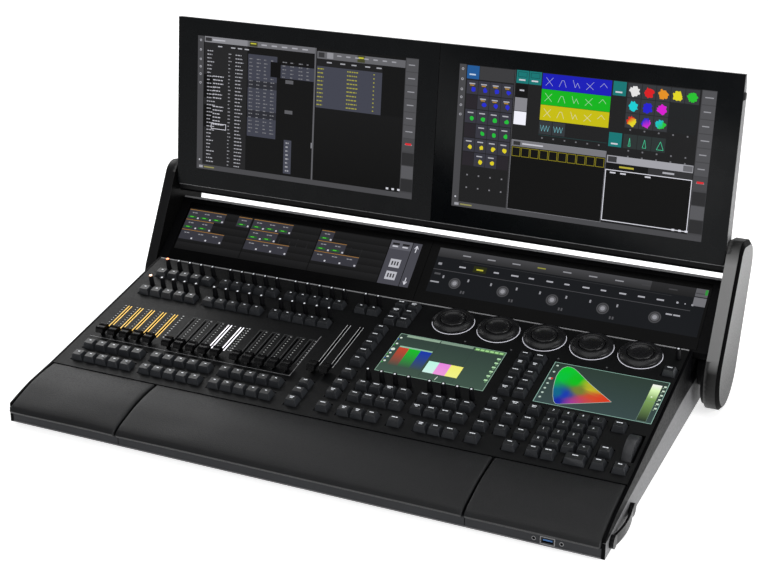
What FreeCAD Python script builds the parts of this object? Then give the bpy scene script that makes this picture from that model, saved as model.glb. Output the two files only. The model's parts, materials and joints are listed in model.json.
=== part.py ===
import FreeCAD, Part
import math
import os

import Sketcher

# Lighting control desk: a sloping deck of keys, faders and encoders, with a
# tilted strip display and a twin-screen wing carried on two lifting arms.
#
# Row frame: X to the operator's right, Y to the back, Z up, millimetres.
# The origin is the centre of the footprint, on the surface under the feet.
# Deck frame: x across, "along" up the slope from the wrist rest, "high"
# square to the deck; the deck placement carries it into the row frame.

Vector = FreeCAD.Vector
doc = FreeCAD.newDocument("lighting_control_desk")
sheet = doc.addObject("Spreadsheet::Sheet", "Dims")

DIMENSIONS = [
    # base
    ("foot_height", 4),
    ("foot_radius", 13),
    ("half_width", 404),
    ("wall", 4),
    ("floor_plate", 2),
    ("front_y", -288.6),
    ("rear_y", 298),
    ("rail_depth", 12),
    ("rail_top_z", 18),
    ("band_front_z", 25),
    ("band_knee_z", 34.5),
    ("band_shoulder_y", 45),
    ("band_rear_z", 49.5),
    ("cover_sheet", 2.5),
    ("cover_rear_z", 107),
    ("trench_y", 83),
    ("trench_floor_z", 48),
    # wrist rest
    ("rest_front_y", -298),
    ("rest_seam_x", 236.5),
    ("rest_gap", 1.5),
    # inside the tray
    ("inside_y", 112),
    ("supply_x", -385),
    ("supply_width", 180),
    ("supply_length", 150),
    ("supply_high", 36),
    ("board_x", -150),
    ("board_width", 400),
    ("board_length", 160),
    ("board_thick", 1.6),
    ("board_z", 14),
    ("cooler_size", 90),
    ("cooler_high", 24),
    ("stand_size", 8),
    # deck
    ("deck_front_y", -195.6),
    ("deck_front_z", 50.7),
    ("deck_slope", 11.09),
    ("deck_length", 282.5),
    ("deck_plate", 3),
    # keys
    ("key_pitch", 19),
    ("key_base", 18),
    ("key_top_width", 12.5),
    ("key_top_length", 10.5),
    ("key_top_high", 7.8),
    ("key_skirt", 2.5),
    ("key_travel", 3.5),
    ("key_gap", 0.7),
    ("wide_key", 27.6),
    # playback columns
    ("first_column", -372),
    ("column_group", 106),
    ("master_column", -50),
    # faders
    ("fader_start", 80.5),
    ("fader_travel", 60),
    ("master_start", 90),
    ("master_travel", 100),
    ("fader_slot", 2.6),
    ("fader_cap_width", 11.5),
    ("fader_cap_length", 18),
    ("fader_cap_low", 6.5),
    ("fader_cap_shoulder", 12),
    ("fader_cap_high", 13.6),
    ("fader_cap_dish", 12.2),
    # dual encoders
    ("encoder_first_x", 83.5),
    ("encoder_pitch", 65),
    ("encoder_along", 251),
    ("encoder_ring_radius", 28.5),
    ("encoder_knob_radius", 17.2),
    ("encoder_bore_radius", 17.8),
    ("sleeve_radius", 6),
    ("spindle_radius", 3),
    # small rotary knobs
    ("knob_radius", 3.7),
    ("knob_high", 16),
    # level wheel
    ("wheel_radius", 30),
    ("wheel_width", 12),
    ("wheel_x", 386),
    ("wheel_along", 66),
    ("wheel_depth", 18),
    ("wheel_axle_radius", 2.5),
    # command screens
    ("screen_width", 153),
    ("screen_length", 90),
    ("screen_along", 116.5),
    ("left_screen_x", 25),
    ("right_screen_x", 243),
    # hinges
    ("lift_y", 144),
    ("lift_z", 60),
    ("lift_shaft_radius", 8),
    ("tilt_y", 205),
    ("tilt_z", 184),
    ("tilt_pin_radius", 5),
    ("running_gap", 0.05),
    # arms
    ("arm_inner_x", 420),
    ("arm_thick", 20),
    ("arm_foot_radius", 57),
    ("arm_front_y", 183.8),
    ("arm_front_z", 200.4),
    ("arm_front_radius", 24),
    ("arm_rear_y", 210),
    ("arm_rear_z", 184),
    ("arm_rear_radius", 34),
    ("hub_radius", 28),
    ("disc_radius", 52),
    ("disc_thick", 5),
    ("arm_bevel_side", 4),
    ("arm_bevel_face", 7.5),
    # strip display between the arms
    ("strip_front_y", 98),
    ("strip_front_z", 91.6),
    ("strip_slope", 40.9),
    ("strip_length", 113),
    ("strip_rim", 6),
    ("strip_thick", 24),
    ("strip_half_width", 419),
    ("apron_radius", 56),
    ("apron_thick", 3),
    # screen wing
    ("wing_y", 168),
    ("wing_z", 222),
    ("wing_lean", 6.46),
    ("wing_bottom", -27),
    ("wing_top", 224),
    ("wing_half_width", 418),
    ("glass_thick", 3),
    ("wing_edge", 11),
    ("wing_shoulder_depth", 25),
    ("wing_shoulder", 182),
    ("wing_middle_depth", 29),
    ("wing_middle", 105),
    ("wing_foot_depth", 34),
    ("chin_drop", 13),
    ("chin_depth", 24),
    ("block_wall", 9),
    ("hinge_block_x", 402),
]


def fill_sheet():
    """Write every driving dimension as a plain number with an alias."""
    for row, (alias, value) in enumerate(DIMENSIONS, start=1):
        sheet.set("A%d" % row, alias)
        sheet.set("B%d" % row, str(value))
        sheet.setAlias("B%d" % row, alias)
    doc.recompute()


fill_sheet()


def dim(alias):
    """A driving dimension, read back from the sheet."""
    return float(sheet.get(alias))


def number(expression):
    """The value of an expression in the sheet's aliases."""
    return float(sheet.evalExpression(expression))


def turned(y, z, angle):
    """Placement at (0, y, z), turned about the X axis."""
    return FreeCAD.Placement(Vector(0, y, z), FreeCAD.Rotation(Vector(1, 0, 0), angle))


DECK = turned(dim("deck_front_y"), dim("deck_front_z"), dim("deck_slope"))
STRIP = turned(dim("strip_front_y"), dim("strip_front_z"), dim("strip_slope"))
WING = turned(dim("wing_y"), dim("wing_z"), -dim("wing_lean"))


def on_deck(x, along):
    """Placement of a control whose own origin lies on the deck surface."""
    return DECK.multiply(FreeCAD.Placement(Vector(x, along, 0), FreeCAD.Rotation()))


# Far corner of the deck plate, where the trench behind it begins.
DECK_REAR_Y = "(Dims.deck_front_y + Dims.deck_length * cos(Dims.deck_slope * 1 deg))"
DECK_REAR_Z = "(Dims.deck_front_z + Dims.deck_length * sin(Dims.deck_slope * 1 deg))"


# ---------------------------------------------------------------- helpers

def finish(feature, label, placement=None):
    """Give a sub-part its label and its place."""
    feature.Label = label
    if placement is not None:
        feature.Placement = placement
    return feature


def box(name, length, width, height, corner):
    """Part::Box whose sizes and corner are expressions."""
    block = doc.addObject("Part::Box", name)
    block.setExpression("Length", length)
    block.setExpression("Width", width)
    block.setExpression("Height", height)
    for axis, place in zip("xyz", corner):
        block.setExpression("Placement.Base." + axis, place)
    return block


def cut(name, base, tool):
    feature = doc.addObject("Part::Cut", name)
    feature.Base = base
    feature.Tool = tool
    return feature


def joined(name, pieces):
    feature = doc.addObject("Part::MultiFuse", name)
    feature.Shapes = pieces
    return feature


def gathered(name, pieces):
    """Separate solids kept side by side in one sub-part."""
    feature = doc.addObject("Part::Compound", name)
    feature.Links = pieces
    return feature


def shaped(name, solids, placement=None):
    """Sub-part made of solids that the loops below work out."""
    feature = doc.addObject("Part::Feature", name)
    feature.Shape = solids[0] if len(solids) == 1 else Part.makeCompound(solids)
    return finish(feature, name, placement)


def origin_plane(body, role):
    return [plane for plane in body.Origin.OriginFeatures if plane.Role == role][0]


def new_sketch(body, name, role):
    sketch = body.newObject("Sketcher::SketchObject", name)
    sketch.AttachmentSupport = (origin_plane(body, role), [""])
    sketch.MapMode = "FlatFace"
    return sketch


def hold(sketch, kind, first, second, expression):
    """Add one driving constraint and bind it to the sheet."""
    datum = number(expression)
    index = sketch.addConstraint(Sketcher.Constraint(kind, *first, *second, datum))
    sketch.setExpression("Constraints[%d]" % index, expression)


def draw_outline(sketch, corners):
    """Closed polygon; every corner is a pair of expressions."""
    points = [Vector(number(across), number(up), 0) for across, up in corners]
    count = len(points)
    for index in range(count):
        sketch.addGeometry(Part.LineSegment(points[index], points[(index + 1) % count]), False)
    for index in range(count):
        sketch.addConstraint(Sketcher.Constraint("Coincident", index, 2, (index + 1) % count, 1))
    for index, (across, up) in enumerate(corners):
        hold(sketch, "DistanceX", (-1, 1), (index, 1), across)
        hold(sketch, "DistanceY", (-1, 1), (index, 1), up)


def extrusion(name, corners, start, length, placement=None):
    """Body whose YZ outline is padded along X from start."""
    body = doc.addObject("PartDesign::Body", name)
    sketch = new_sketch(body, name + "_outline", "YZ_Plane")
    draw_outline(sketch, corners)
    pad = body.newObject("PartDesign::Pad", name + "_pad")
    pad.Profile = sketch
    pad.setExpression("Length", length)
    if placement is not None:
        body.Placement = placement
    body.setExpression("Placement.Base.x", start)
    return body


def revolved(name, corners):
    """Body whose XZ outline (radius, high) is turned about Z."""
    body = doc.addObject("PartDesign::Body", name)
    sketch = new_sketch(body, name + "_section", "XZ_Plane")
    draw_outline(sketch, corners)
    turn = body.newObject("PartDesign::Revolution", name + "_turn")
    turn.Profile = sketch
    turn.ReferenceAxis = (sketch, ["V_Axis"])
    turn.Angle = 360
    return body


def block_shape(low, high):
    """Solid box between two corners."""
    size = [high[i] - low[i] for i in range(3)]
    return Part.makeBox(size[0], size[1], size[2], Vector(*low))


def frustum(low, high):
    """Solid with flat faces between two level rectangles (x0, y0, x1, y1, z)."""
    def ring(x0, y0, x1, y1, z):
        return [Vector(x0, y0, z), Vector(x1, y0, z), Vector(x1, y1, z), Vector(x0, y1, z)]
    bottom = ring(*low)
    top = ring(*high)
    faces = [Part.Face(Part.makePolygon(loop + loop[:1])) for loop in (bottom, top)]
    for index in range(4):
        after = (index + 1) % 4
        side = [bottom[index], bottom[after], top[after], top[index]]
        faces.append(Part.Face(Part.makePolygon(side + side[:1])))
    solid = Part.Solid(Part.Shell(faces))
    if solid.Volume < 0:
        solid.reverse()
    return solid


def drilled(shape, centre, axis, radius, length):
    return shape.cut(Part.makeCylinder(radius, length, centre, axis))


# ---------------------------------------------------------------- deck layout

PITCH = dim("key_pitch")
COLUMNS = [dim("first_column") + group * dim("column_group") + i * PITCH
           for group in range(3) for i in range(5)]
GROUP_STARTS = COLUMNS[::5]
MASTERS = [dim("master_column") + i * PITCH for i in range(2)]
ENCODERS = [dim("encoder_first_x") + i * dim("encoder_pitch") for i in range(5)]
HALF_KEY = dim("key_base") / 2

# Reach of a cutting tool below and above the deck plate.
CUT_DEPTH = 10
CUT_ABOVE = 5


def grid(x, columns, along, rows, width=dim("key_base")):
    """Key cluster: first key's x, columns, first key's distance along, rows, key width."""
    return (x, columns, along, rows, width)


# Every bank is a list of clusters, and each cluster shares one opening.
LOWER_ROW = 23
PAD_X = 278
PAD_ROW = 22
WIDE_X = PAD_X + 3 * PITCH + HALF_KEY - dim("wide_key") / 2
BANKS = {
    "playback_keys": [grid(x, 5, 194, 1) for x in GROUP_STARTS]
    + [grid(x, 5, 241.5, 1) for x in GROUP_STARTS]
    + [grid(MASTERS[0], 2, 241.5, 1)],
    "executor_keys": [grid(x, 5, along, 1) for x in GROUP_STARTS for along in (LOWER_ROW, 51)],
    "master_keys": [grid(-45.5, 1, 21.5, 3)],
    "view_keys": [grid(0.5, 2, 228, 3), grid(-2.5, 1, 126, 5)]
    + [grid(-2.5, 1, along, 1) for along in (LOWER_ROW, 53, 73, 98)],
    "command_keys": [grid(x, 4, along, 1) for x in (27.5, 113.5) for along in (54.5, 79)]
    + [grid(x, count, LOWER_ROW, 1) for x, count in ((27.5, 3), (97, 1), (132.5, 3))],
    "function_keys": [grid(x, 1, 126, 5) for x in (204, 224)]
    + [grid(x, 1, along, 1) for x in (201, 228, 253) for along in (48, 73, 98)]
    + [grid(x, 1, LOWER_ROW, 1) for x in (200, 248)],
    "number_keys": [grid(PAD_X, 4, PAD_ROW + PITCH, 4), grid(PAD_X, 2, PAD_ROW, 1)]
    + [grid(WIDE_X, 1, PAD_ROW, 1, dim("wide_key"))]
    + [grid(x, 1, along, 1)
       for x, along in ((361.5, 98), (359.5, 47), (358.5, 23), (384.5, 23), (388.5, 226.5))],
}

KNOBS = [(x, 259) for x in COLUMNS + MASTERS + [391]]
KNOBS += [(x, 211.5) for x in COLUMNS]
KNOBS += [(x + i * PITCH, 97) for x in (27.5, 113.5) for i in range(4)]


def cells(cluster):
    """Centre and width of each key in a cluster."""
    x, columns, along, rows, width = cluster
    return [(x + i * PITCH, along + j * PITCH, width) for i in range(columns) for j in range(rows)]


def keys_of(bank):
    return [key for cluster in BANKS[bank] for key in cells(cluster)]


def cluster_opening(cluster):
    """Hole through the deck plate that clears a cluster of caps."""
    x, columns, along, rows, width = cluster
    side = width / 2 + dim("key_gap")
    end = HALF_KEY + dim("key_gap")
    low = (x - side, along - end, -CUT_DEPTH)
    high = (x + (columns - 1) * PITCH + side, along + (rows - 1) * PITCH + end, CUT_ABOVE)
    return block_shape(low, high)


def fader_places():
    """Name, x, first cap centre and travel of every fader."""
    places = [("fader_%02d" % (i + 1), x, dim("fader_start"), dim("fader_travel"))
              for i, x in enumerate(COLUMNS)]
    places += [("master_fader_%d" % (i + 1), x, dim("master_start"), dim("master_travel"))
               for i, x in enumerate(MASTERS)]
    return places


# ---------------------------------------------------------------- base

def base_tray():
    """Metal tray: a floor plate and two low side bands."""
    floor_plate = box("tray_floor", "2 * Dims.half_width", "Dims.rear_y - Dims.front_y",
                      "Dims.floor_plate", ("-Dims.half_width", "Dims.front_y", "Dims.foot_height"))
    band = [("Dims.front_y", "Dims.foot_height"), ("Dims.rear_y", "Dims.foot_height"),
            ("Dims.rear_y", "Dims.band_rear_z"), ("Dims.band_shoulder_y", "Dims.band_rear_z"),
            ("Dims.deck_front_y", "Dims.band_knee_z"), ("Dims.front_y", "Dims.band_front_z")]
    left = extrusion("tray_band_left", band, "-Dims.half_width", "Dims.wall")
    right = extrusion("tray_band_right", band, "Dims.half_width - Dims.wall", "Dims.wall")
    return finish(joined("tray", [floor_plate, left, right]), "base_tray")


def side_cheeks():
    """Black side plates above the bands, bored for the lift shafts."""
    outline = [("Dims.front_y", "Dims.band_front_z"),
               ("Dims.deck_front_y", "Dims.band_knee_z"),
               ("Dims.band_shoulder_y", "Dims.band_rear_z"),
               ("Dims.rear_y", "Dims.band_rear_z"),
               ("Dims.rear_y", "Dims.cover_rear_z - 1"),
               ("Dims.lift_y - 18", "Dims.lift_z + 17"),
               ("Dims.lift_y - 34", "Dims.lift_z + 2"),
               ("Dims.lift_y - 60", "Dims.lift_z + 2"),
               (DECK_REAR_Y, DECK_REAR_Z),
               ("Dims.deck_front_y", "Dims.deck_front_z"),
               ("Dims.deck_front_y - 23.4", "Dims.deck_front_z - 3.7"),
               ("Dims.deck_front_y - 49.4", "Dims.deck_front_z - 7.9"),
               ("Dims.deck_front_y - 72.4", "Dims.deck_front_z - 14"),
               ("Dims.front_y", "Dims.band_front_z + 5")]
    bore = doc.addObject("Part::Cylinder", "lift_bore")
    bore.setExpression("Radius", "Dims.lift_shaft_radius + Dims.running_gap")
    bore.setExpression("Height", "2 * Dims.half_width + 20")
    bore.Placement = FreeCAD.Placement(Vector(0, 0, 0), FreeCAD.Rotation(Vector(0, 1, 0), 90))
    for axis, place in (("x", "-Dims.half_width - 10"), ("y", "Dims.lift_y"), ("z", "Dims.lift_z")):
        bore.setExpression("Placement.Base." + axis, place)
    left = extrusion("cheek_left_plate", outline, "-Dims.half_width", "Dims.wall")
    right = extrusion("cheek_right_plate", outline, "Dims.half_width - Dims.wall", "Dims.wall")
    plates = gathered("cheek_plates", [left, right])
    return finish(cut("cheeks", plates, bore), "side_cheeks")


# Socket in the front rail: low and high corners, shell wall, mouth depth, tongue.
FRONT_SOCKET = ((329, dim("front_y") - 0.4, 7.5), (345, dim("front_y") + dim("rail_depth"), 15.5))
SHELL_WALL = 1.3
SHELL_MOUTH = 9
TONGUE_MARGIN = 2.3
TONGUE_SET_BACK = 0.8
TONGUE_Z = (10.9, 12.9)
HOLE_MARGIN = 0.1


def front_rail():
    """Bar under the wrist rest, with the hole for the front socket."""
    rail = box("rail_bar", "2 * (Dims.half_width - Dims.wall)", "Dims.rail_depth",
               "Dims.rail_top_z - Dims.foot_height - Dims.floor_plate",
               ("Dims.wall - Dims.half_width", "Dims.front_y", "Dims.foot_height + Dims.floor_plate"))
    low, high = FRONT_SOCKET
    hole = doc.addObject("Part::Feature", "front_socket_hole")
    hole.Shape = block_shape((low[0] - HOLE_MARGIN, low[1] - 1, low[2] - HOLE_MARGIN),
                             (high[0] + HOLE_MARGIN, high[1] + 1, high[2] + HOLE_MARGIN))
    return finish(cut("rail", rail, hole), "front_rail")


def wrist_rest(name, left, right):
    """Crowned rest with a rolled front edge."""
    front = "Dims.rest_front_y"
    back = "Dims.deck_front_y - 0.6"
    outline = [(back, "Dims.rail_top_z + 18"), (back, "Dims.deck_front_z - 0.7"),
               (back + " - 23", "Dims.deck_front_z - 1.7"),
               (back + " - 49", "Dims.deck_front_z - 5.7"),
               (back + " - 72", "Dims.deck_front_z - 12.2"),
               (front + " + 11", "Dims.deck_front_z - 18.2"),
               (front + " + 2", "Dims.deck_front_z - 22.7"),
               (front, "Dims.deck_front_z - 26.7"),
               (front + " + 2", "Dims.rail_top_z + 2"),
               (front + " + 9", "Dims.rail_top_z + 0.2"),
               ("Dims.front_y + Dims.rail_depth", "Dims.rail_top_z + 0.2")]
    body = extrusion(name + "_body", outline, left, "(" + right + ") - (" + left + ")")
    return finish(body, name)


def wrist_rests():
    edge = "(Dims.half_width - Dims.wall - 0.3)"
    half_gap = "Dims.rest_gap / 2"
    wrist_rest("wrist_rest_left", "-" + edge, "-Dims.rest_seam_x - " + half_gap)
    wrist_rest("wrist_rest_centre", "-Dims.rest_seam_x + " + half_gap, "Dims.rest_seam_x - " + half_gap)
    wrist_rest("wrist_rest_right", "Dims.rest_seam_x + " + half_gap, edge)


def rear_cover():
    """Folded sheet: trench behind the deck, sloping top and rear panel."""
    sheet_z = "Dims.cover_sheet"
    outline = [("Dims.trench_y", DECK_REAR_Z + " - 3.6"),
               ("Dims.trench_y", "Dims.trench_floor_z"),
               ("Dims.lift_y - 32", "Dims.trench_floor_z"),
               ("Dims.lift_y - 17", "Dims.lift_z + 16.5"),
               ("Dims.rear_y - " + sheet_z, "Dims.cover_rear_z - " + sheet_z + " - 0.4"),
               ("Dims.rear_y - " + sheet_z, "Dims.foot_height + Dims.floor_plate"),
               ("Dims.rear_y", "Dims.foot_height + Dims.floor_plate"),
               ("Dims.rear_y", "Dims.cover_rear_z"),
               ("Dims.lift_y - 18", "Dims.lift_z + 19"),
               ("Dims.lift_y - 33.6", "Dims.trench_floor_z + " + sheet_z),
               ("Dims.trench_y + " + sheet_z, "Dims.trench_floor_z + " + sheet_z),
               ("Dims.trench_y + " + sheet_z, DECK_REAR_Z + " - 3.6")]
    skin = extrusion("cover_sheet_body", outline, "Dims.wall - Dims.half_width",
                     "2 * (Dims.half_width - Dims.wall)")
    holes = doc.addObject("Part::Feature", "rear_socket_holes")
    holes.Shape = Part.makeCompound([socket_plug(place, HOLE_MARGIN) for place in REAR_SOCKETS])
    return finish(cut("cover", skin, holes), "rear_cover")


# Rear sockets: kind, x, z, outer half width, outer half height, mouth half sizes.
ROUND_X = [-60 + 38 * i for i in range(6)]
REAR_SOCKETS = [("round", x, 62, 13, 13, 9, 9) for x in ROUND_X]
REAR_SOCKETS += [("square", x, 30, 9, 8, 6, 4.5) for x in (-60, -30)]
REAR_SOCKETS += [("square", -300, 60, 15, 11, 12, 8.5)]
SOCKET_DEPTH = 22
MOUTH_DEPTH = 15


def socket_plug(place, margin):
    """Outer body of a rear socket, grown by a margin for its hole."""
    kind, x, z, half_x, half_z = place[:5]
    outside = dim("rear_y")
    if kind == "round":
        start = Vector(x, outside - SOCKET_DEPTH, z)
        return Part.makeCylinder(half_x + margin, SOCKET_DEPTH, start, Vector(0, 1, 0))
    low = (x - half_x - margin, outside - SOCKET_DEPTH, z - half_z - margin)
    return block_shape(low, (x + half_x + margin, outside, z + half_z + margin))


def socket_body(place):
    """Rear socket with a blind mouth that faces the back."""
    kind, x, z = place[:3]
    half_x, half_z = place[5:]
    outside = dim("rear_y")
    if kind == "round":
        start = Vector(x, outside - MOUTH_DEPTH, z)
        mouth = Part.makeCylinder(half_x, MOUTH_DEPTH + 1, start, Vector(0, 1, 0))
    else:
        mouth = block_shape((x - half_x, outside - MOUTH_DEPTH, z - half_z),
                            (x + half_x, outside + 1, z + half_z))
    return socket_plug(place, 0).cut(mouth)


def front_socket():
    """Front data socket: metal shell with a tongue along its middle."""
    low, high = FRONT_SOCKET
    shell = block_shape(low, high)
    back = low[1] + SHELL_MOUTH
    mouth = block_shape((low[0] + SHELL_WALL, low[1] - 1, low[2] + SHELL_WALL),
                        (high[0] - SHELL_WALL, back, high[2] - SHELL_WALL))
    tongue = block_shape((low[0] + TONGUE_MARGIN, low[1] + TONGUE_SET_BACK, TONGUE_Z[0]),
                         (high[0] - TONGUE_MARGIN, back, TONGUE_Z[1]))
    return shell.cut(mouth).fuse(tongue)


def sockets():
    shaped("sockets", [front_socket()] + [socket_body(place) for place in REAR_SOCKETS])


FOOT_X = (-360, 0, 360)
FOOT_Y = (-258, 262)


def feet():
    """Six rubber discs under the tray."""
    spots = [(x, y) for x in FOOT_X for y in FOOT_Y]
    discs = []
    for x, y in spots:
        centre = Vector(x, y, 0)
        discs.append(Part.makeCylinder(dim("foot_radius"), dim("foot_height"), centre))
    shaped("feet", discs)


# Strap handles: end places, centre line of the flat strap, its section and fixings.
STRAP_Y = (-268, -191)
STRAP_LOW_Z = 10
STRAP_HIGH = 14
STRAP_THICK = 3
STRAP_END_X = 406.5
STRAP_OUT_X = 411
FIXING_RADIUS = 8
FIXING_LENGTH = 5.5


def strap_handles():
    """Two flat rubber strap handles, bowed out between two round end fixings."""
    across = Vector(1, 0, 0)
    middle_y = sum(STRAP_Y) / 2
    arcs = []
    for offset in (-STRAP_THICK / 2, STRAP_THICK / 2):
        ends = [Vector(STRAP_END_X + offset, y, STRAP_LOW_Z) for y in STRAP_Y]
        top = Vector(STRAP_OUT_X + offset, middle_y, STRAP_LOW_Z)
        arcs.append(Part.Arc(ends[0], top, ends[1]).toShape())
    caps = [Part.makeLine(Vector(STRAP_END_X - STRAP_THICK / 2, y, STRAP_LOW_Z),
                          Vector(STRAP_END_X + STRAP_THICK / 2, y, STRAP_LOW_Z)) for y in STRAP_Y]
    rim = Part.Wire(Part.__sortEdges__(arcs + caps))
    strap = Part.Face(rim).extrude(Vector(0, 0, STRAP_HIGH))
    middle_z = STRAP_LOW_Z + STRAP_HIGH / 2
    fixings = [Part.makeCylinder(FIXING_RADIUS, FIXING_LENGTH, Vector(dim("half_width"), y, middle_z), across)
               for y in STRAP_Y]
    right = fixings[0].fuse([strap, fixings[1]])
    left = right.mirror(Vector(0, 0, 0), across)
    shaped("strap_handles", [left, right])


def inner_modules():
    """Power supply and main board on the tray floor."""
    tray_top = "Dims.foot_height + Dims.floor_plate"
    supply = box("supply_case", "Dims.supply_width", "Dims.supply_length", "Dims.supply_high",
                 ("Dims.supply_x", "Dims.inside_y", tray_top))
    finish(supply, "power_supply")
    board = box("board_plate", "Dims.board_width", "Dims.board_length", "Dims.board_thick",
                ("Dims.board_x", "Dims.inside_y", "Dims.board_z"))
    cooler = box("board_cooler", "Dims.cooler_size", "Dims.cooler_size", "Dims.cooler_high",
                 ("0", "Dims.inside_y + 38", "Dims.board_z + Dims.board_thick"))
    size = "Dims.stand_size"
    stands = []
    for x in ("Dims.board_x + 2", "Dims.board_x + Dims.board_width - 10"):
        for y in ("Dims.inside_y + 2", "Dims.inside_y + Dims.board_length - 10"):
            name = "board_stand_%d" % len(stands)
            stands.append(box(name, size, size, "Dims.board_z - (" + tray_top + ")", (x, y, tray_top)))
    finish(joined("board", [board, cooler] + stands), "main_board")


# ---------------------------------------------------------------- deck

SPINDLE_HOLE = 2.4
SLEEVE_GAP = 1.5
SCREEN_GAP = 0.4
WHEEL_GAP = 0.8
WHEEL_HOLE_EDGE = 396


def deck_hole(x, along, radius):
    """Round hole through the deck plate."""
    return Part.makeCylinder(radius, 2 * CUT_DEPTH, Vector(x, along, -CUT_DEPTH), Vector(0, 0, 1))


def deck_opening(x0, along0, x1, along1):
    """Rectangular hole through the deck plate."""
    return block_shape((x0, along0, -CUT_DEPTH), (x1, along1, CUT_ABOVE))


def deck_panel():
    """Top plate with an opening for every control."""
    plate = box("deck_plate_blank", "2 * (Dims.half_width - Dims.wall)", "Dims.deck_length",
                "Dims.deck_plate", ("Dims.wall - Dims.half_width", "0", "-Dims.deck_plate"))
    holes = [cluster_opening(cluster) for bank in BANKS.values() for cluster in bank]
    half_slot = dim("fader_slot") / 2
    for name, x, start, travel in fader_places():
        holes.append(deck_opening(x - half_slot, start - FADER_STEM_FRONT, x + half_slot, start + travel + 10))
    holes += [deck_hole(x, along, SPINDLE_HOLE) for x, along in KNOBS]
    holes += [deck_hole(x, dim("encoder_along"), dim("sleeve_radius") + SLEEVE_GAP) for x in ENCODERS]
    for low, high in screen_boxes():
        holes.append(deck_opening(low[0] - SCREEN_GAP, low[1] - SCREEN_GAP,
                                  high[0] + SCREEN_GAP, high[1] + SCREEN_GAP))
    wheel_low = dim("wheel_x") - dim("wheel_width") / 2 - WHEEL_GAP
    lowest_cut = dim("wheel_depth") - dim("deck_plate")
    half_chord = math.sqrt(dim("wheel_radius") ** 2 - lowest_cut ** 2) + 1
    along = dim("wheel_along")
    holes.append(deck_opening(wheel_low, along - half_chord, WHEEL_HOLE_EDGE, along + half_chord))
    tool = doc.addObject("Part::Feature", "deck_openings")
    tool.Shape = Part.makeCompound(holes)
    return finish(cut("deck_plate_cut", plate, tool), "deck_panel", DECK)


SCREEN_LOW = -9
SCREEN_SUNK = 0.4


def screen_boxes():
    """Low and high corners of the two command screens."""
    along = dim("screen_along")
    return [((x, along, SCREEN_LOW), (x + dim("screen_width"), along + dim("screen_length"), -SCREEN_SUNK))
            for x in (dim("left_screen_x"), dim("right_screen_x"))]


def command_screens():
    shaped("command_screens", [block_shape(*corners) for corners in screen_boxes()], DECK)


STEM_HALF = 2.8
STEM_LENGTH = 5


def key_cap(x, along, width):
    """Tapered key cap with the square stem under it."""
    half = width / 2
    half_top = half - (dim("key_base") - dim("key_top_width")) / 2
    top_front = along - 1 - dim("key_top_length") / 2
    base = (x - half, along - HALF_KEY, x + half, along + HALF_KEY, -dim("key_skirt"))
    top = (x - half_top, top_front, x + half_top, top_front + dim("key_top_length"), dim("key_top_high"))
    stem_low = (x - STEM_HALF, along - STEM_HALF, -dim("key_skirt") - STEM_LENGTH)
    stem = block_shape(stem_low, (x + STEM_HALF, along + STEM_HALF, -dim("key_skirt") + 1))
    return frustum(base, top).fuse(stem)


def key_banks():
    for bank in BANKS:
        shaped(bank, [key_cap(*key) for key in keys_of(bank)], DECK)


SWITCH_TOP = -7
SWITCH_BOTTOM = -19
SWITCH_HALF = 6.8
BOARD_THICK = 1.6


def switch_housing(x, along):
    """Key switch with a square well for the stem."""
    well_half = STEM_HALF + 0.6
    outer = block_shape((x - SWITCH_HALF, along - SWITCH_HALF, SWITCH_BOTTOM),
                        (x + SWITCH_HALF, along + SWITCH_HALF, SWITCH_TOP))
    well_floor = -dim("key_skirt") - STEM_LENGTH - dim("key_travel") - 1
    well = block_shape((x - well_half, along - well_half, well_floor),
                       (x + well_half, along + well_half, SWITCH_TOP + 1))
    return outer.cut(well)


def switch_board(cluster):
    """Circuit board under one cluster of switches."""
    x, columns, along, rows, width = cluster
    margin = SWITCH_HALF + 1.5
    low = (x - margin, along - margin, SWITCH_BOTTOM - BOARD_THICK)
    high = (x + (columns - 1) * PITCH + margin, along + (rows - 1) * PITCH + margin, SWITCH_BOTTOM)
    return block_shape(low, high)


def key_switches():
    solids = []
    for bank, clusters in BANKS.items():
        solids += [switch_housing(x, along) for x, along, width in keys_of(bank)]
        solids += [switch_board(cluster) for cluster in clusters]
    return solids


# Fader cap ridges and dish, and the slide unit below the plate.
RIDGE = 4
DISH_HALF = 1.4
FADER_STEM_HALF = (0.6, 4)
FADER_STEM_LOW = -13
FADER_STEM_FRONT = 5.5
FADER_UNIT_TOP = -8
FADER_UNIT_LOW = -34
FADER_UNIT_HALF = 6
FADER_UNIT_ENDS = (12, 14)
FADER_WELL_HALF = 1.5


def fader(name, x, start):
    """Fader cap with a finger dish, on a flat stem."""
    half_length = dim("fader_cap_length") / 2
    low = dim("fader_cap_low")
    shoulder = dim("fader_cap_shoulder")
    high = dim("fader_cap_high")
    dish = dim("fader_cap_dish")
    side = [(-half_length, low), (half_length, low), (half_length - 1, shoulder), (RIDGE, high),
            (DISH_HALF, dish), (-DISH_HALF, dish), (-RIDGE, high), (-half_length + 2, shoulder)]
    left = -dim("fader_cap_width") / 2
    points = [Vector(left, along, high) for along, high in side]
    face = Part.Face(Part.makePolygon(points + points[:1]))
    cap = face.extrude(Vector(dim("fader_cap_width"), 0, 0))
    thin, long = FADER_STEM_HALF
    stem = block_shape((-thin, -long, FADER_STEM_LOW), (thin, long, low + 1))
    shaped(name, [cap.fuse(stem)], on_deck(x, start))


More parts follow.
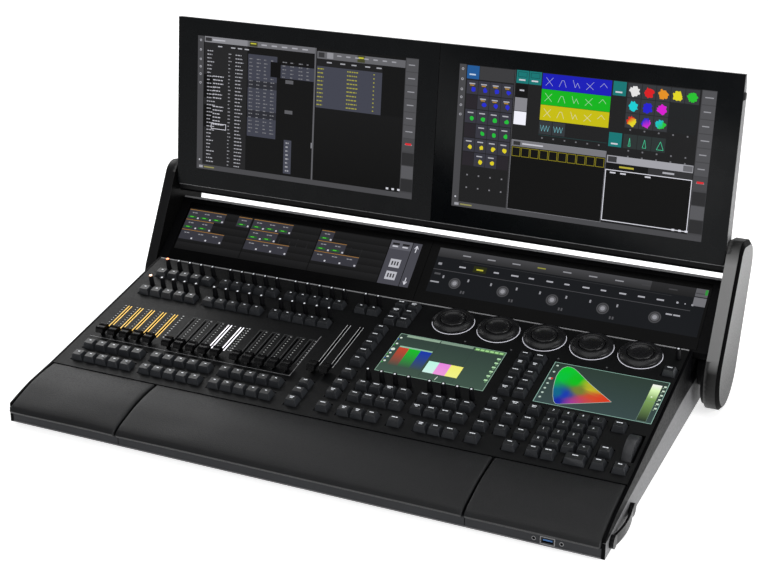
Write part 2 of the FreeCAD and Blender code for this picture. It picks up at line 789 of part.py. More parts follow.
def fader_units():
    """Slide unit under every fader, slotted for the stem."""
    solids = []
    for name, x, start, travel in fader_places():
        front, back = FADER_UNIT_ENDS
        outer = block_shape((x - FADER_UNIT_HALF, start - front, FADER_UNIT_LOW),
                            (x + FADER_UNIT_HALF, start + travel + back, FADER_UNIT_TOP))
        slot = block_shape((x - FADER_WELL_HALF, start - FADER_STEM_FRONT, FADER_STEM_LOW - 2),
                           (x + FADER_WELL_HALF, start + travel + FADER_STEM_FRONT, FADER_UNIT_TOP + 1))
        solids.append(outer.cut(slot))
    return solids


ENCODER_UNIT_HALF = 14
ENCODER_UNIT_LOW = -32
ENCODER_UNIT_TOP = -11


def encoder_units():
    """Encoder bodies under the plate, below the reach of the spindles."""
    along = dim("encoder_along")
    half = ENCODER_UNIT_HALF
    return [block_shape((x - half, along - half, ENCODER_UNIT_LOW), (x + half, along + half, ENCODER_UNIT_TOP))
            for x in ENCODERS]


BRACKET_THICK = 2
BRACKET_GAP = 2
BRACKET_HALF = 8
BRACKET_LOW = -28
BRACKET_TOP = -8


def wheel_brackets():
    """Two plates that carry the level wheel's axle."""
    solids = []
    along = dim("wheel_along")
    reach = dim("wheel_width") / 2 + BRACKET_GAP
    bore = dim("wheel_axle_radius") + 0.1
    for low_x in (dim("wheel_x") - reach - BRACKET_THICK, dim("wheel_x") + reach):
        plate = block_shape((low_x, along - BRACKET_HALF, BRACKET_LOW),
                            (low_x + BRACKET_THICK, along + BRACKET_HALF, BRACKET_TOP))
        centre = Vector(low_x - 1, along, -dim("wheel_depth"))
        solids.append(drilled(plate, centre, Vector(1, 0, 0), bore, BRACKET_THICK + 2))
    return solids


def control_modules():
    """Switches, boards, slide units, encoder bodies and wheel brackets."""
    solids = key_switches() + fader_units() + encoder_units() + wheel_brackets()
    shaped("control_modules", solids, DECK)


KNOB_LIFT = 0.6
KNOB_TAPER = 0.6
KNOB_SPINDLE = 1.8
KNOB_SPINDLE_LOW = -9


def rotary_knobs():
    """Slim rotary knobs, each with its spindle through the plate."""
    solids = []
    up = Vector(0, 0, 1)
    for x, along in KNOBS:
        cap = Part.makeCone(dim("knob_radius"), dim("knob_radius") - KNOB_TAPER, dim("knob_high") - KNOB_LIFT,
                            Vector(x, along, KNOB_LIFT), up)
        spindle = Part.makeCylinder(KNOB_SPINDLE, KNOB_LIFT - KNOB_SPINDLE_LOW,
                                    Vector(x, along, KNOB_SPINDLE_LOW), up)
        solids.append(cap.fuse(spindle))
    shaped("rotary_knobs", solids, DECK)


def encoder_parts():
    """Five dual encoders: an outer ring and a dished knob on one axis."""
    rim = "Dims.encoder_ring_radius"
    bore = "Dims.encoder_bore_radius"
    cap = "Dims.encoder_knob_radius"
    ring = revolved("encoder_ring_master", [
        ("Dims.spindle_radius + 1", "-8"), ("Dims.sleeve_radius", "-8"),
        ("Dims.sleeve_radius", "0.8"), (rim, "0.8"), (rim, "3.4"), (rim + " - 0.6", "4.2"),
        (rim + " - 6", "6.9"), (rim + " - 7.5", "7.2"), (bore + " + 0.6", "6.7"), (bore, "6.2"),
        (bore, "2.2"), ("Dims.spindle_radius + 1", "2.2")])
    knob = revolved("encoder_knob_master", [
        ("0.4", "-10"), ("Dims.spindle_radius", "-10"), ("Dims.spindle_radius", "2.8"),
        (cap, "2.8"), (cap, "7.4"), (cap + " - 0.5", "8.2"), (cap + " - 1.5", "8.6"),
        (cap + " - 2.6", "8.3"), (cap + " - 4.4", "7.1"), (cap + " - 7", "6.3"),
        (cap + " - 11", "5.9"), ("0.4", "5.8")])
    doc.recompute()
    for index, x in enumerate(ENCODERS, start=1):
        place = on_deck(x, dim("encoder_along"))
        shaped("encoder_ring_%d" % index, [ring.Shape.copy()], place)
        shaped("encoder_knob_%d" % index, [knob.Shape.copy()], place)


def level_wheel():
    """Thumb wheel with its axle across the deck."""
    across = Vector(1, 0, 0)
    half = dim("wheel_width") / 2
    centre = Vector(dim("wheel_x"), dim("wheel_along"), -dim("wheel_depth"))
    wheel = Part.makeCylinder(dim("wheel_radius"), dim("wheel_width"), centre - across * half, across)
    axle_reach = half + 4.5
    axle = Part.makeCylinder(dim("wheel_axle_radius"), 2 * axle_reach, centre - across * axle_reach, across)
    shaped("level_wheel", [wheel.fuse(axle)], DECK)


# ---------------------------------------------------------------- lifting arms

def arm_circles(inset):
    """Foot, rear and front circles; the inset moves the front and top rims in, not the rear."""
    half = "Dims.arm_bevel_face / 2"
    if not inset:
        return [("Dims.lift_y", "Dims.lift_z", "Dims.arm_foot_radius"),
                ("Dims.arm_rear_y", "Dims.arm_rear_z", "Dims.arm_rear_radius"),
                ("Dims.arm_front_y", "Dims.arm_front_z", "Dims.arm_front_radius")]
    return [("Dims.lift_y + " + half, "Dims.lift_z", "Dims.arm_foot_radius - " + half),
            ("Dims.arm_rear_y + " + half, "Dims.arm_rear_z - " + half, "Dims.arm_rear_radius - " + half),
            ("Dims.arm_front_y", "Dims.arm_front_z", "Dims.arm_front_radius - Dims.arm_bevel_face")]


def draw_arm(sketch, circles):
    """Circles joined in turn by their outer tangents; each one is a (y, z, radius)."""
    discs = [[number(part) for part in circle] for circle in circles]
    centres = [Vector(y, z, 0) for y, z, radius in discs]
    count = len(discs)
    angles = []
    for index in range(count):
        start = centres[index]
        end = centres[(index + 1) % count]
        heading = math.atan2(end.y - start.y, end.x - start.x)
        drop = (discs[index][2] - discs[(index + 1) % count][2]) / start.distanceToPoint(end)
        angles.append(heading - math.acos(drop))

    def rim(index, angle):
        reach = Vector(math.cos(angle), math.sin(angle), 0) * discs[index % count][2]
        return centres[index % count] + reach

    upright = Vector(0, 0, 1)
    for index in range(count):
        circle = Part.Circle(centres[index], upright, discs[index][2])
        sketch.addGeometry(Part.ArcOfCircle(circle, angles[index - 1], angles[index]), False)
        line = Part.LineSegment(rim(index, angles[index]), rim(index + 1, angles[index]))
        sketch.addGeometry(line, False)
    for first in range(2 * count):
        sketch.addConstraint(Sketcher.Constraint("Tangent", first, 2, (first + 1) % (2 * count), 1))
    for index, (y, z, radius) in enumerate(circles):
        hold(sketch, "Radius", (2 * index,), (), radius)
        hold(sketch, "DistanceX", (-1, 1), (2 * index, 3), y)
        hold(sketch, "DistanceY", (-1, 1), (2 * index, 3), z)


def arm(name, side):
    """One arm: a thick plate and the bevel over its front; side is 1 right, -1 left."""
    body = doc.addObject("PartDesign::Body", name)
    plate_sketch = new_sketch(body, name + "_outline", "YZ_Plane")
    draw_arm(plate_sketch, arm_circles(False))
    pad = body.newObject("PartDesign::Pad", name + "_pad")
    pad.Profile = plate_sketch
    pad.setExpression("Length", "Dims.arm_thick - Dims.arm_bevel_side")
    pad.Reversed = side < 0
    rims = []
    for part, inset, reach in (("bevel_foot", False, "(Dims.arm_thick - Dims.arm_bevel_side)"),
                               ("bevel_face", True, "Dims.arm_thick")):
        sketch = new_sketch(body, name + "_" + part, "YZ_Plane")
        draw_arm(sketch, arm_circles(inset))
        sketch.setExpression("AttachmentOffset.Base.z", "%d * %s" % (side, reach))
        rims.append(sketch)
    loft = body.newObject("PartDesign::AdditiveLoft", name + "_bevel")
    loft.Profile = rims[0]
    loft.Sections = [rims[1]]
    loft.Ruled = True
    body.setExpression("Placement.Base.x", "%d * Dims.arm_inner_x" % side)
    doc.recompute()
    return finish(body, name)


SHAFT_LENGTH = 35
PIN_LENGTH = 22


def hinge_shafts():
    """Lift shafts with hub discs, and the tilt pins, all fixed to the arms."""
    across = Vector(1, 0, 0)
    arm_x = dim("arm_inner_x")
    lift = Vector(0, dim("lift_y"), dim("lift_z"))
    tilt = Vector(0, dim("tilt_y"), dim("tilt_z"))
    shaft_start = lift + across * (arm_x - SHAFT_LENGTH)
    shaft = Part.makeCylinder(dim("lift_shaft_radius"), SHAFT_LENGTH, shaft_start, across)
    hub_length = arm_x - dim("half_width") - 0.5
    hub = Part.makeCylinder(dim("hub_radius"), hub_length, lift + across * (arm_x - hub_length), across)
    disc_start = lift + across * (arm_x - dim("disc_thick"))
    disc = Part.makeCylinder(dim("disc_radius"), dim("disc_thick"), disc_start, across)
    above_strip = block_shape((arm_x - 20, -30, -dim("strip_thick") - 0.3), (arm_x + 20, 140, 60))
    above_strip.Placement = STRIP
    pin_start = tilt + across * (arm_x - PIN_LENGTH)
    pin = Part.makeCylinder(dim("tilt_pin_radius"), PIN_LENGTH, pin_start, across)
    right = [shaft.fuse([hub, disc.cut(above_strip)]), pin]
    left = [solid.mirror(Vector(0, 0, 0), across) for solid in right]
    shaped("hinge_shafts", right + left)


# ---------------------------------------------------------------- strip display

# Strip panels: half length, front edge, depth; half width of the hollow and the apron.
PANEL_EDGE = 403.6
PANEL_FRONT = 7.4
PANEL_DEPTH = 2.2
PANEL_GAP = 0.3
INNER_EDGE = 396
APRON_ANGLES = (141, 163, 185)
APRON_REACH = 90


def strip_housing():
    """Display housing between the arms with a curved apron below it."""
    rim = "Dims.strip_length + Dims.strip_rim"
    outline = [("1", "-6"), ("4", "0.01"), ("Dims.strip_length - 1", "0.01"),
               (rim + " - 2.5", "-0.6"), (rim, "-3"), (rim, "-12"),
               ("Dims.strip_length - 10", "-Dims.strip_thick"), ("12", "-Dims.strip_thick"),
               ("1", "-12")]
    shell = extrusion("strip_blank", outline, "-Dims.strip_half_width", "2 * Dims.strip_half_width", STRIP)
    recess = doc.addObject("Part::Feature", "strip_recess")
    length = dim("strip_length")
    lip = block_shape((-PANEL_EDGE - 0.4, PANEL_FRONT - 0.4, -PANEL_DEPTH), (PANEL_EDGE + 0.4, length - 6, 5))
    hollow = block_shape((-INNER_EDGE, 14, 3 - dim("strip_thick")), (INNER_EDGE, length - 14, 0))
    recess.Shape = lip.fuse(hollow)
    recess.Placement = STRIP
    open_shell = cut("strip_open", shell, recess)
    across = Vector(1, 0, 0)
    outer_radius = dim("apron_radius")
    width = 2 * INNER_EDGE
    start = Vector(-INNER_EDGE, dim("lift_y"), dim("lift_z"))
    outer = Part.makeCylinder(outer_radius, width, start, across)
    inner = Part.makeCylinder(outer_radius - dim("apron_thick"), width, start, across)
    rays = [Vector(0, math.cos(math.radians(a)), math.sin(math.radians(a))) for a in APRON_ANGLES]
    wedge = Part.makePolygon([start] + [start + ray * APRON_REACH for ray in rays] + [start])
    sector = Part.Face(wedge).extrude(Vector(width, 0, 0))
    apron = doc.addObject("Part::Feature", "strip_apron")
    apron.Shape = outer.cut(inner).common(sector)
    return finish(joined("strip_shell", [open_shell, apron]), "strip_housing")


def strip_displays():
    """Two long display panels under one level of glass."""
    top = dim("strip_length") - 6.4
    panels = [block_shape((low, PANEL_FRONT, -PANEL_DEPTH), (high, top, -PANEL_GAP))
              for low, high in ((-PANEL_EDGE, -PANEL_GAP), (PANEL_GAP, PANEL_EDGE))]
    shaped("strip_displays", panels, STRIP)


# ---------------------------------------------------------------- screen wing

def wing_housing():
    """Wedge-shaped rear shell of the wing, open to the front."""
    bottom = "Dims.wing_bottom"
    top = "Dims.wing_top"
    chin = bottom + " - Dims.chin_drop"
    outline = [("Dims.glass_thick", bottom + " + 0.5"), ("Dims.glass_thick", top + " - 0.5"),
               ("Dims.wing_edge", top + " - 0.5"), ("Dims.wing_shoulder_depth", "Dims.wing_shoulder"),
               ("Dims.wing_middle_depth", "Dims.wing_middle"),
               ("Dims.wing_foot_depth", bottom + " + 9"), ("Dims.wing_foot_depth", bottom + " + 0.5"),
               ("Dims.chin_depth", bottom + " + 0.5"), ("Dims.chin_depth", chin + " + 3"),
               ("Dims.chin_depth - 3", chin),
               ("9", chin), ("5", chin + " + 4"), ("4.2", bottom + " + 0.5")]
    shell = extrusion("wing_blank", outline, "-Dims.wing_half_width + 0.5",
                      "2 * Dims.wing_half_width - 1", WING)
    hollow = [("Dims.glass_thick - 1", bottom + " + 4"), ("Dims.glass_thick - 1", top + " - 5"),
              ("Dims.wing_edge - 1.5", top + " - 5"),
              ("Dims.wing_shoulder_depth - 3", "Dims.wing_shoulder - 2"),
              ("Dims.wing_middle_depth - 3", "Dims.wing_middle - 1"),
              ("Dims.wing_foot_depth - 3", bottom + " + 4")]
    cavity = extrusion("wing_cavity", hollow, "-Dims.wing_half_width + 6",
                       "2 * Dims.wing_half_width - 12", WING)
    return finish(cut("wing_shell", shell, cavity), "wing_housing")


def wing_glass():
    """Two cover glasses that meet at the centre line."""
    thick = dim("glass_thick")
    low = dim("wing_bottom")
    high = dim("wing_top")
    edge = dim("wing_half_width")
    halves = [block_shape((a, 0, low), (b, thick, high)) for a, b in ((-edge, -PANEL_GAP), (PANEL_GAP, edge))]
    shaped("wing_glass", halves, WING)


def wing_hinge_blocks():
    """Blocks under the wing's ends, bored for the tilt pins."""
    back = dim("tilt_y") - dim("wing_y")
    down = dim("tilt_z") - dim("wing_z")
    lean = math.radians(dim("wing_lean"))
    pivot_depth = back * math.cos(lean) - down * math.sin(lean)
    pivot_up = back * math.sin(lean) + down * math.cos(lean)
    shelf = dim("wing_bottom") + 0.3
    front = dim("chin_depth") + 0.3
    skin = dim("wing_foot_depth") + 0.3
    wall = dim("block_wall")
    rear = pivot_depth + wall + 3
    side = [(front, shelf), (front, pivot_up - 5), (front + 5, pivot_up - wall),
            (rear - 7, pivot_up - wall), (rear, pivot_up - 2), (rear, pivot_up + 7),
            (rear - 6, pivot_up + wall + 3), (skin, pivot_up + wall + 3), (skin, shelf)]
    across = Vector(1, 0, 0)
    start_x = dim("hinge_block_x")
    width = dim("arm_inner_x") - start_x - 2.5
    points = [Vector(start_x, depth, up) for depth, up in side]
    plate = Part.Face(Part.makePolygon(points + points[:1])).extrude(across * width)
    bore_radius = dim("tilt_pin_radius") + dim("running_gap")
    right = drilled(plate, Vector(start_x - 5, pivot_depth, pivot_up), across, bore_radius, width + 10)
    left = right.mirror(Vector(0, 0, 0), across)
    shaped("wing_hinge_blocks", [left, right], WING)


# ---------------------------------------------------------------- assembly

def build():
    """Make every sub-part."""
    base_tray()
    side_cheeks()
    front_rail()
    wrist_rests()
    rear_cover()
    sockets()
    feet()
    strap_handles()
    inner_modules()
    deck_panel()
    command_screens()
    key_banks()
    for name, x, start, travel in fader_places():
        fader(name, x, start)
    control_modules()
    rotary_knobs()
    encoder_parts()
    level_wheel()
    arm("arm_left", -1)
    arm("arm_right", 1)
    hinge_shafts()
    strip_housing()
    strip_displays()
    wing_housing()
    wing_glass()
    wing_hinge_blocks()
    doc.recompute()


NODES = ["base_tray", "side_cheeks", "front_rail", "wrist_rest_left", "wrist_rest_centre",
         "wrist_rest_right", "rear_cover", "sockets", "feet", "strap_handles", "power_supply",
         "main_board", "deck_panel", "command_screens", "control_modules", "rotary_knobs",
         "level_wheel", "arm_left", "arm_right", "hinge_shafts", "strip_housing",
         "strip_displays", "wing_housing", "wing_glass", "wing_hinge_blocks"]
NODES += list(BANKS)
NODES += [place[0] for place in fader_places()]
NODES += ["encoder_%s_%d" % (kind, i) for i in range(1, 6) for kind in ("ring", "knob")]


def check():
    """Stop if any feature failed or any sub-part is empty or invalid."""
    for feature in doc.Objects:
        if "Invalid" in feature.State or "Error" in feature.State:
            raise RuntimeError(feature.Name + " did not compute")
    for name in NODES:
        found = doc.getObjectsByLabel(name)
        if len(found) != 1:
            raise RuntimeError(name + " is missing")
        shape = found[0].Shape
        if shape.isNull() or not shape.isValid() or shape.Volume <= 0:
            raise RuntimeError(name + " has a bad shape")


def write():
    os.makedirs("parts", exist_ok=True)
    for name in NODES:
        doc.getObjectsByLabel(name)[0].Shape.exportStep(os.path.join("parts", name + ".step"))


build()
check()
write()
print(len(NODES), "sub-parts written")
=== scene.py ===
import json
import math
import random

import bpy
import numpy as np
from mathutils import Matrix, Vector

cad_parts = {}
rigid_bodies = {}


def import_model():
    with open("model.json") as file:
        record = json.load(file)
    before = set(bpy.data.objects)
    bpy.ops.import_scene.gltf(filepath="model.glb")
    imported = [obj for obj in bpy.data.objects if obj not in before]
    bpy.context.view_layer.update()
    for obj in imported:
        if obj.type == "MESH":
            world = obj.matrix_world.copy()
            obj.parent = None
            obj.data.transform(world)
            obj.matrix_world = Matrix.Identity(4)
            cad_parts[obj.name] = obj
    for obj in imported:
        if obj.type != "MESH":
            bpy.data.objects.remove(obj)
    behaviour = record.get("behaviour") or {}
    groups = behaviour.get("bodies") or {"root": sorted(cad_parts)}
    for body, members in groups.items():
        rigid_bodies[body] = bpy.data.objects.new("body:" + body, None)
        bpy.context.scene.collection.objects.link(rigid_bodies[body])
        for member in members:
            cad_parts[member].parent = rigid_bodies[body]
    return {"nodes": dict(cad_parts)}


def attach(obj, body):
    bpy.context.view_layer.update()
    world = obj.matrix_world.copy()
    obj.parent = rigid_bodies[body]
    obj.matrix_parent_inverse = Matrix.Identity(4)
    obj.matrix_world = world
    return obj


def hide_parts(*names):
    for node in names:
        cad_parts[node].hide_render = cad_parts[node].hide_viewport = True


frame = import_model()
bpy.context.view_layer.update()
NODES = frame["nodes"]
MM = 0.001


# ---------------------------------------------------------------- the desk's own faces
# Each face has x across the desk, y up its slope and z out of it, in millimetres.

def face(y, z, turn):
    return Matrix.Translation((0, y * MM, z * MM)) @ Matrix.Rotation(math.radians(turn), 4, "X")


DECK = face(-195.6, 50.7, 11.09)
STRIP = face(98.0, 91.6, 40.9)
WING = face(168.0, 222.0, -6.46 + 90.0)


# ---------------------------------------------------------------- materials

class Finish:
    """A node material built up step by step round one Principled shader."""

    def __init__(self, name, colour, rough, metal=0.0, **sockets):
        self.material = bpy.data.materials.new(name)
        self.material.use_nodes = True
        self.tree = self.material.node_tree
        self.shader = self.tree.nodes["Principled BSDF"]
        self.colour = colour
        self.set("Base Color", (*colour, 1.0))
        self.set("Roughness", rough)
        self.set("Metallic", metal)
        for socket, value in sockets.items():
            self.set(socket.replace("_", " "), value)
        self.height = None

    def set(self, socket, value):
        self.shader.inputs[socket].default_value = value

    def node(self, kind, **settings):
        made = self.tree.nodes.new(kind)
        for key, value in settings.items():
            if key in made.inputs:
                made.inputs[key].default_value = value
            else:
                setattr(made, key, value)
        return made

    def link(self, source, target):
        self.tree.links.new(source, target)

    def noise(self, scale, detail=4.0):
        place = self.node("ShaderNodeTexCoord")
        grain = self.node("ShaderNodeTexNoise", Scale=scale, Detail=detail)
        self.link(place.outputs["Object"], grain.inputs["Vector"])
        return grain.outputs["Fac"]

    def pores(self, scale):
        place = self.node("ShaderNodeTexCoord")
        cells = self.node("ShaderNodeTexVoronoi", Scale=scale)
        cells.feature = "SMOOTH_F1"
        self.link(place.outputs["Object"], cells.inputs["Vector"])
        return cells.outputs["Distance"]

    def ramp(self, value, stops):
        shade = self.node("ShaderNodeValToRGB")
        points = shade.color_ramp.elements
        while len(points) < len(stops):
            points.new(0.5)
        for point, (at, tint) in zip(points, stops):
            point.position = at
            point.color = (*tint, 1.0) if isinstance(tint, tuple) else (tint, tint, tint, 1.0)
        self.link(value, shade.inputs["Fac"])
        return shade.outputs["Color"]

    def mapped(self, value, low, high):
        """A number stretched from low..high to 0..1."""
        spread = self.node("ShaderNodeMapRange")
        spread.inputs["From Min"].default_value = low
        spread.inputs["From Max"].default_value = high
        self.link(value, spread.inputs["Value"])
        return spread.outputs["Result"]

    def axes(self, output):
        """The three parts of the object's own normal or place."""
        place = self.node("ShaderNodeTexCoord")
        parts = self.node("ShaderNodeSeparateXYZ")
        self.link(place.outputs[output], parts.inputs["Vector"])
        return parts.outputs

    def blend(self, share, first, second):
        """First colour where the share is 0, second where it is 1."""
        mix = self.node("ShaderNodeMix", data_type="RGBA")
        self.link(share, mix.inputs["Factor"])
        for source, socket in ((first, mix.inputs[6]), (second, mix.inputs[7])):
            if isinstance(source, tuple):
                socket.default_value = (*source, 1.0)
            else:
                self.link(source, socket)
        return mix.outputs[2]

    def tone(self, value, spread):
        """The colour wanders by this share either way."""
        dark = tuple(c * (1 - spread) for c in self.colour)
        pale = tuple(min(1.0, c * (1 + spread)) for c in self.colour)
        self.link(self.ramp(value, [(0.3, dark), (0.7, pale)]), self.shader.inputs["Base Color"])
        return self

    def sheen_spots(self, value, low, high):
        """The roughness wanders between two values."""
        self.link(self.ramp(value, [(0.3, low), (0.7, high)]), self.shader.inputs["Roughness"])
        return self

    def relief(self, value, depth, strength=1.0):
        """Bumps this many metres deep, on top of any already there."""
        bump = self.node("ShaderNodeBump", Distance=depth, Strength=strength)
        self.link(value, bump.inputs["Height"])
        if self.height is not None:
            self.link(self.height, bump.inputs["Normal"])
        self.height = bump.outputs["Normal"]
        self.link(self.height, self.shader.inputs["Normal"])
        return self


def powder_coat(name, colour, rough=0.5, grain=1500.0, depth=0.00004, shine=0.3):
    finish = Finish(name, colour, rough, Specular_IOR_Level=shine)
    finish.tone(finish.noise(14.0, 3.0), 0.07)
    finish.sheen_spots(finish.noise(grain * 0.25, 2.0), rough - 0.06, rough + 0.08)
    finish.relief(finish.noise(grain, 2.0), depth)
    return finish


def moulded(name, colour, rough=0.42, grain=2600.0, depth=0.00003):
    finish = Finish(name, colour, rough, Specular_IOR_Level=0.35)
    finish.tone(finish.noise(60.0, 2.0), 0.08)
    finish.sheen_spots(finish.noise(grain * 0.2, 2.0), rough - 0.05, rough + 0.07)
    finish.relief(finish.pores(grain), depth)
    return finish


def rolled_metal(name, colour, rough):
    finish = Finish(name, colour, rough, 1.0)
    finish.tone(finish.noise(220.0, 5.0), 0.12)
    finish.sheen_spots(finish.noise(400.0, 3.0), rough - 0.08, rough + 0.10)
    finish.relief(finish.noise(700.0, 4.0), 0.00003)
    return finish


def glass(name, colour, rough=0.12, shine=0.12):
    finish = Finish(name, colour, rough, IOR=1.5, Specular_IOR_Level=shine)
    finish.tone(finish.noise(6.0, 2.0), 0.10)
    finish.sheen_spots(finish.noise(35.0, 3.0), rough - 0.03, rough + 0.05)
    return finish


def lamp(name, colour, strength):
    """A lit part: the glow is a little uneven, as it is behind a diffuser."""
    finish = Finish(name, tuple(c * 0.6 for c in colour), 0.35)
    glow = finish.ramp(finish.noise(90.0, 2.0), [(0.2, tuple(c * 0.85 for c in colour)), (0.8, colour)])
    finish.link(glow, finish.shader.inputs["Emission Color"])
    finish.set("Emission Strength", strength)
    return finish


def sided(name, colour, side_colour):
    """Painted part whose end faces, square to X, are bare grey metal."""
    finish = powder_coat(name, colour, 0.42, 1500.0, shine=0.15)
    turn = finish.node("ShaderNodeMath", operation="ABSOLUTE")
    finish.link(finish.axes("Normal")["X"], turn.inputs[0])
    grainy = finish.ramp(finish.noise(900.0, 3.0), [(0.3, tuple(c * 0.78 for c in side_colour)),
                                                    (0.7, tuple(c * 1.22 for c in side_colour))])
    bare = finish.ramp(turn.outputs[0], [(0.96, 0.0), (0.99, 1.0)])
    finish.link(finish.blend(bare, colour, grainy), finish.shader.inputs["Base Color"])
    return finish


def shaded_key_finish(name, top, side):
    """Moulded cap whose flat top is darker than its sloping sides: painted shade on the top, painted light on
    the sides.
    """
    finish = moulded(name, side, 0.32)
    up = finish.axes("Normal")["Z"]
    # painted shade: faces turned straight up take the darker top colour, and the sloping sides take the
    # lighter one
    tint = finish.blend(finish.mapped(up, 0.90, 0.96), side, top)
    finish.link(tint, finish.shader.inputs["Base Color"])
    return finish


def arm_finish(name):
    """Grey outer face with painted shade darkening it towards the foot, and a black outer bevel. The front
    rim is painted as a satin reflection on the right arm that darkens at its ends, and as near-black shade on
    the left arm. The pale inner edge is a painted highlight.
    """
    finish = powder_coat(name, (0.035, 0.035, 0.037), 0.45)
    normal = finish.axes("Normal")
    place = finish.axes("Object")
    side = finish.node("ShaderNodeMath", operation="SIGN")
    finish.link(place["X"], side.inputs[0])
    outward = finish.node("ShaderNodeMath", operation="MULTIPLY")
    finish.link(normal["X"], outward.inputs[0])
    finish.link(side.outputs[0], outward.inputs[1])
    turned = finish.mapped(outward.outputs[0], -1.0, 1.0)
    grain = finish.noise(1100.0, 3.0)
    # painted shade: the outer face runs from the darker grey at the foot to the lighter grey higher up
    face_shaded = finish.ramp(grain, [(0.3, 0.022), (0.7, 0.040)])
    face_lit = finish.ramp(grain, [(0.3, 0.17), (0.7, 0.26)])
    face_with_painted_shade = finish.blend(finish.mapped(place["Z"], 0.03, 0.19), face_shaded, face_lit)
    height = finish.mapped(place["Z"], 0.0, 0.25)
    # painted reflection: on the right arm the front rim is a bright satin band that fades to near black at
    # its lower and upper ends
    rim_painted_reflection = finish.ramp(height, [(0.29, 0.006), (0.36, 0.19), (0.80, 0.21), (0.89, 0.004)])
    # painted shade: on the left arm (x below zero) the front rim is near black
    rim = finish.blend(finish.mapped(place["X"], -0.01, 0.01), (0.004, 0.004, 0.0045), rim_painted_reflection)
    # painted highlight: the inner bevel is pale; the outer bevel and the inner face stay near black
    edges = finish.ramp(turned, [(0.03, 0.003), (0.08, 0.06), (0.40, 0.06), (0.44, 0.002)])
    on_rim = finish.ramp(turned, [(0.42, 0.0), (0.46, 1.0), (0.58, 1.0), (0.64, 0.0)])
    on_face = finish.ramp(turned, [(0.965, 0.0), (0.985, 1.0)])
    painted = finish.blend(on_face, finish.blend(on_rim, edges, rim), face_with_painted_shade)
    finish.link(painted, finish.shader.inputs["Base Color"])
    shine = finish.ramp(turned, [(0.0, 0.05), (0.45, 0.22), (0.58, 0.22), (0.66, 0.01), (0.965, 0.01),
                                 (0.985, 0.2)])
    finish.link(shine, finish.shader.inputs["Specular IOR Level"])
    return finish


def picture_finish(name, strength):
    """A lit picture: each mark carries its own colour, over a fine grid of cells."""
    finish = Finish(name, (0.004, 0.004, 0.004), 0.4, Specular_IOR_Level=0.04)
    tint = finish.node("ShaderNodeAttribute", attribute_name="tint")
    cells = finish.ramp(finish.pores(1600.0), [(0.0, 0.86), (1.0, 1.0)])
    mixed = finish.node("ShaderNodeMix", data_type="RGBA", blend_type="MULTIPLY")
    mixed.inputs["Factor"].default_value = 1.0
    finish.link(tint.outputs["Color"], mixed.inputs[6])
    finish.link(cells, mixed.inputs[7])
    finish.link(mixed.outputs[2], finish.shader.inputs["Emission Color"])
    finish.set("Emission Strength", strength)
    return finish


def leather(name, colour):
    finish = Finish(name, colour, 0.42, Specular_IOR_Level=0.33)
    finish.tone(finish.noise(20.0, 3.0), 0.10)
    grain = finish.pores(900.0)
    finish.sheen_spots(grain, 0.42, 0.58)
    finish.relief(grain, 0.00016, 0.8)
    finish.relief(finish.noise(1900.0, 2.0), 0.00005)
    return finish


FINISHES = {
    "tray_metal": powder_coat("tray_metal", (0.155, 0.155, 0.16), 0.45, 1100.0, 0.00006, 0.2),
    "black_paint": powder_coat("black_paint", (0.0016, 0.0016, 0.002), 0.40, shine=0.03),
    "rail_paint": powder_coat("rail_paint", (0.028, 0.029, 0.032), 0.50, shine=0.15),
    "cover_paint": powder_coat("cover_paint", (0.016, 0.016, 0.018), 0.50, shine=0.2),
    "deck_paint": powder_coat("deck_paint", (0.0034, 0.0036, 0.0040), 0.44, shine=0.14),
    # painted shade, a painted reflection and a painted highlight are in the arm finish's colours
    "arm_metal": arm_finish("arm_metal"),
    "strip_paint": powder_coat("strip_paint", (0.0018, 0.0018, 0.0022), 0.42, shine=0.06),
    "wing_metal": sided("wing_metal", (0.003, 0.003, 0.0035), (0.18, 0.18, 0.183)),
    "supply_steel": rolled_metal("supply_steel", (0.45, 0.46, 0.47), 0.35),
    "shaft_steel": powder_coat("shaft_steel", (0.003, 0.003, 0.0035), 0.35, shine=0.06),
    "hinge_metal": powder_coat("hinge_metal", (0.004, 0.004, 0.0045), 0.4, shine=0.06),
    "socket_black": moulded("socket_black", (0.010, 0.010, 0.011), 0.38),
    "foot_rubber": moulded("foot_rubber", (0.012, 0.012, 0.012), 0.75, 900.0, 0.0001),
    "strap_rubber": moulded("strap_rubber", (0.003, 0.003, 0.0033), 0.30, 1200.0, 0.00005),
    "module_plastic": moulded("module_plastic", (0.012, 0.012, 0.012), 0.5),
    "board_green": moulded("board_green", (0.01, 0.07, 0.03), 0.4),
    "knob_black": moulded("knob_black", (0.006, 0.006, 0.007), 0.4),
    "wheel_plastic": moulded("wheel_plastic", (0.028, 0.029, 0.032), 0.38),
    # painted shade and light: the darker colour is for the key tops, the lighter one for the sides
    "key_plastic": shaded_key_finish("key_plastic", (0.011, 0.012, 0.0135), (0.027, 0.029, 0.033)),
    "fader_plastic": moulded("fader_plastic", (0.0018, 0.0018, 0.0022), 0.24),
    "ring_black": moulded("ring_black", (0.007, 0.007, 0.008), 0.28),
    "encoder_black": moulded("encoder_black", (0.008, 0.008, 0.009), 0.26),
    "screen_glass": glass("screen_glass", (0.003, 0.004, 0.004), 0.22),
    "display_glass": glass("display_glass", (0.0012, 0.0012, 0.0014), 0.22, 0.06),
    "wing_front_glass": glass("wing_front_glass", (0.0026, 0.0032, 0.0039), 0.26),
    "rest_leather": leather("rest_leather", (0.0050, 0.0053, 0.0062)),
}


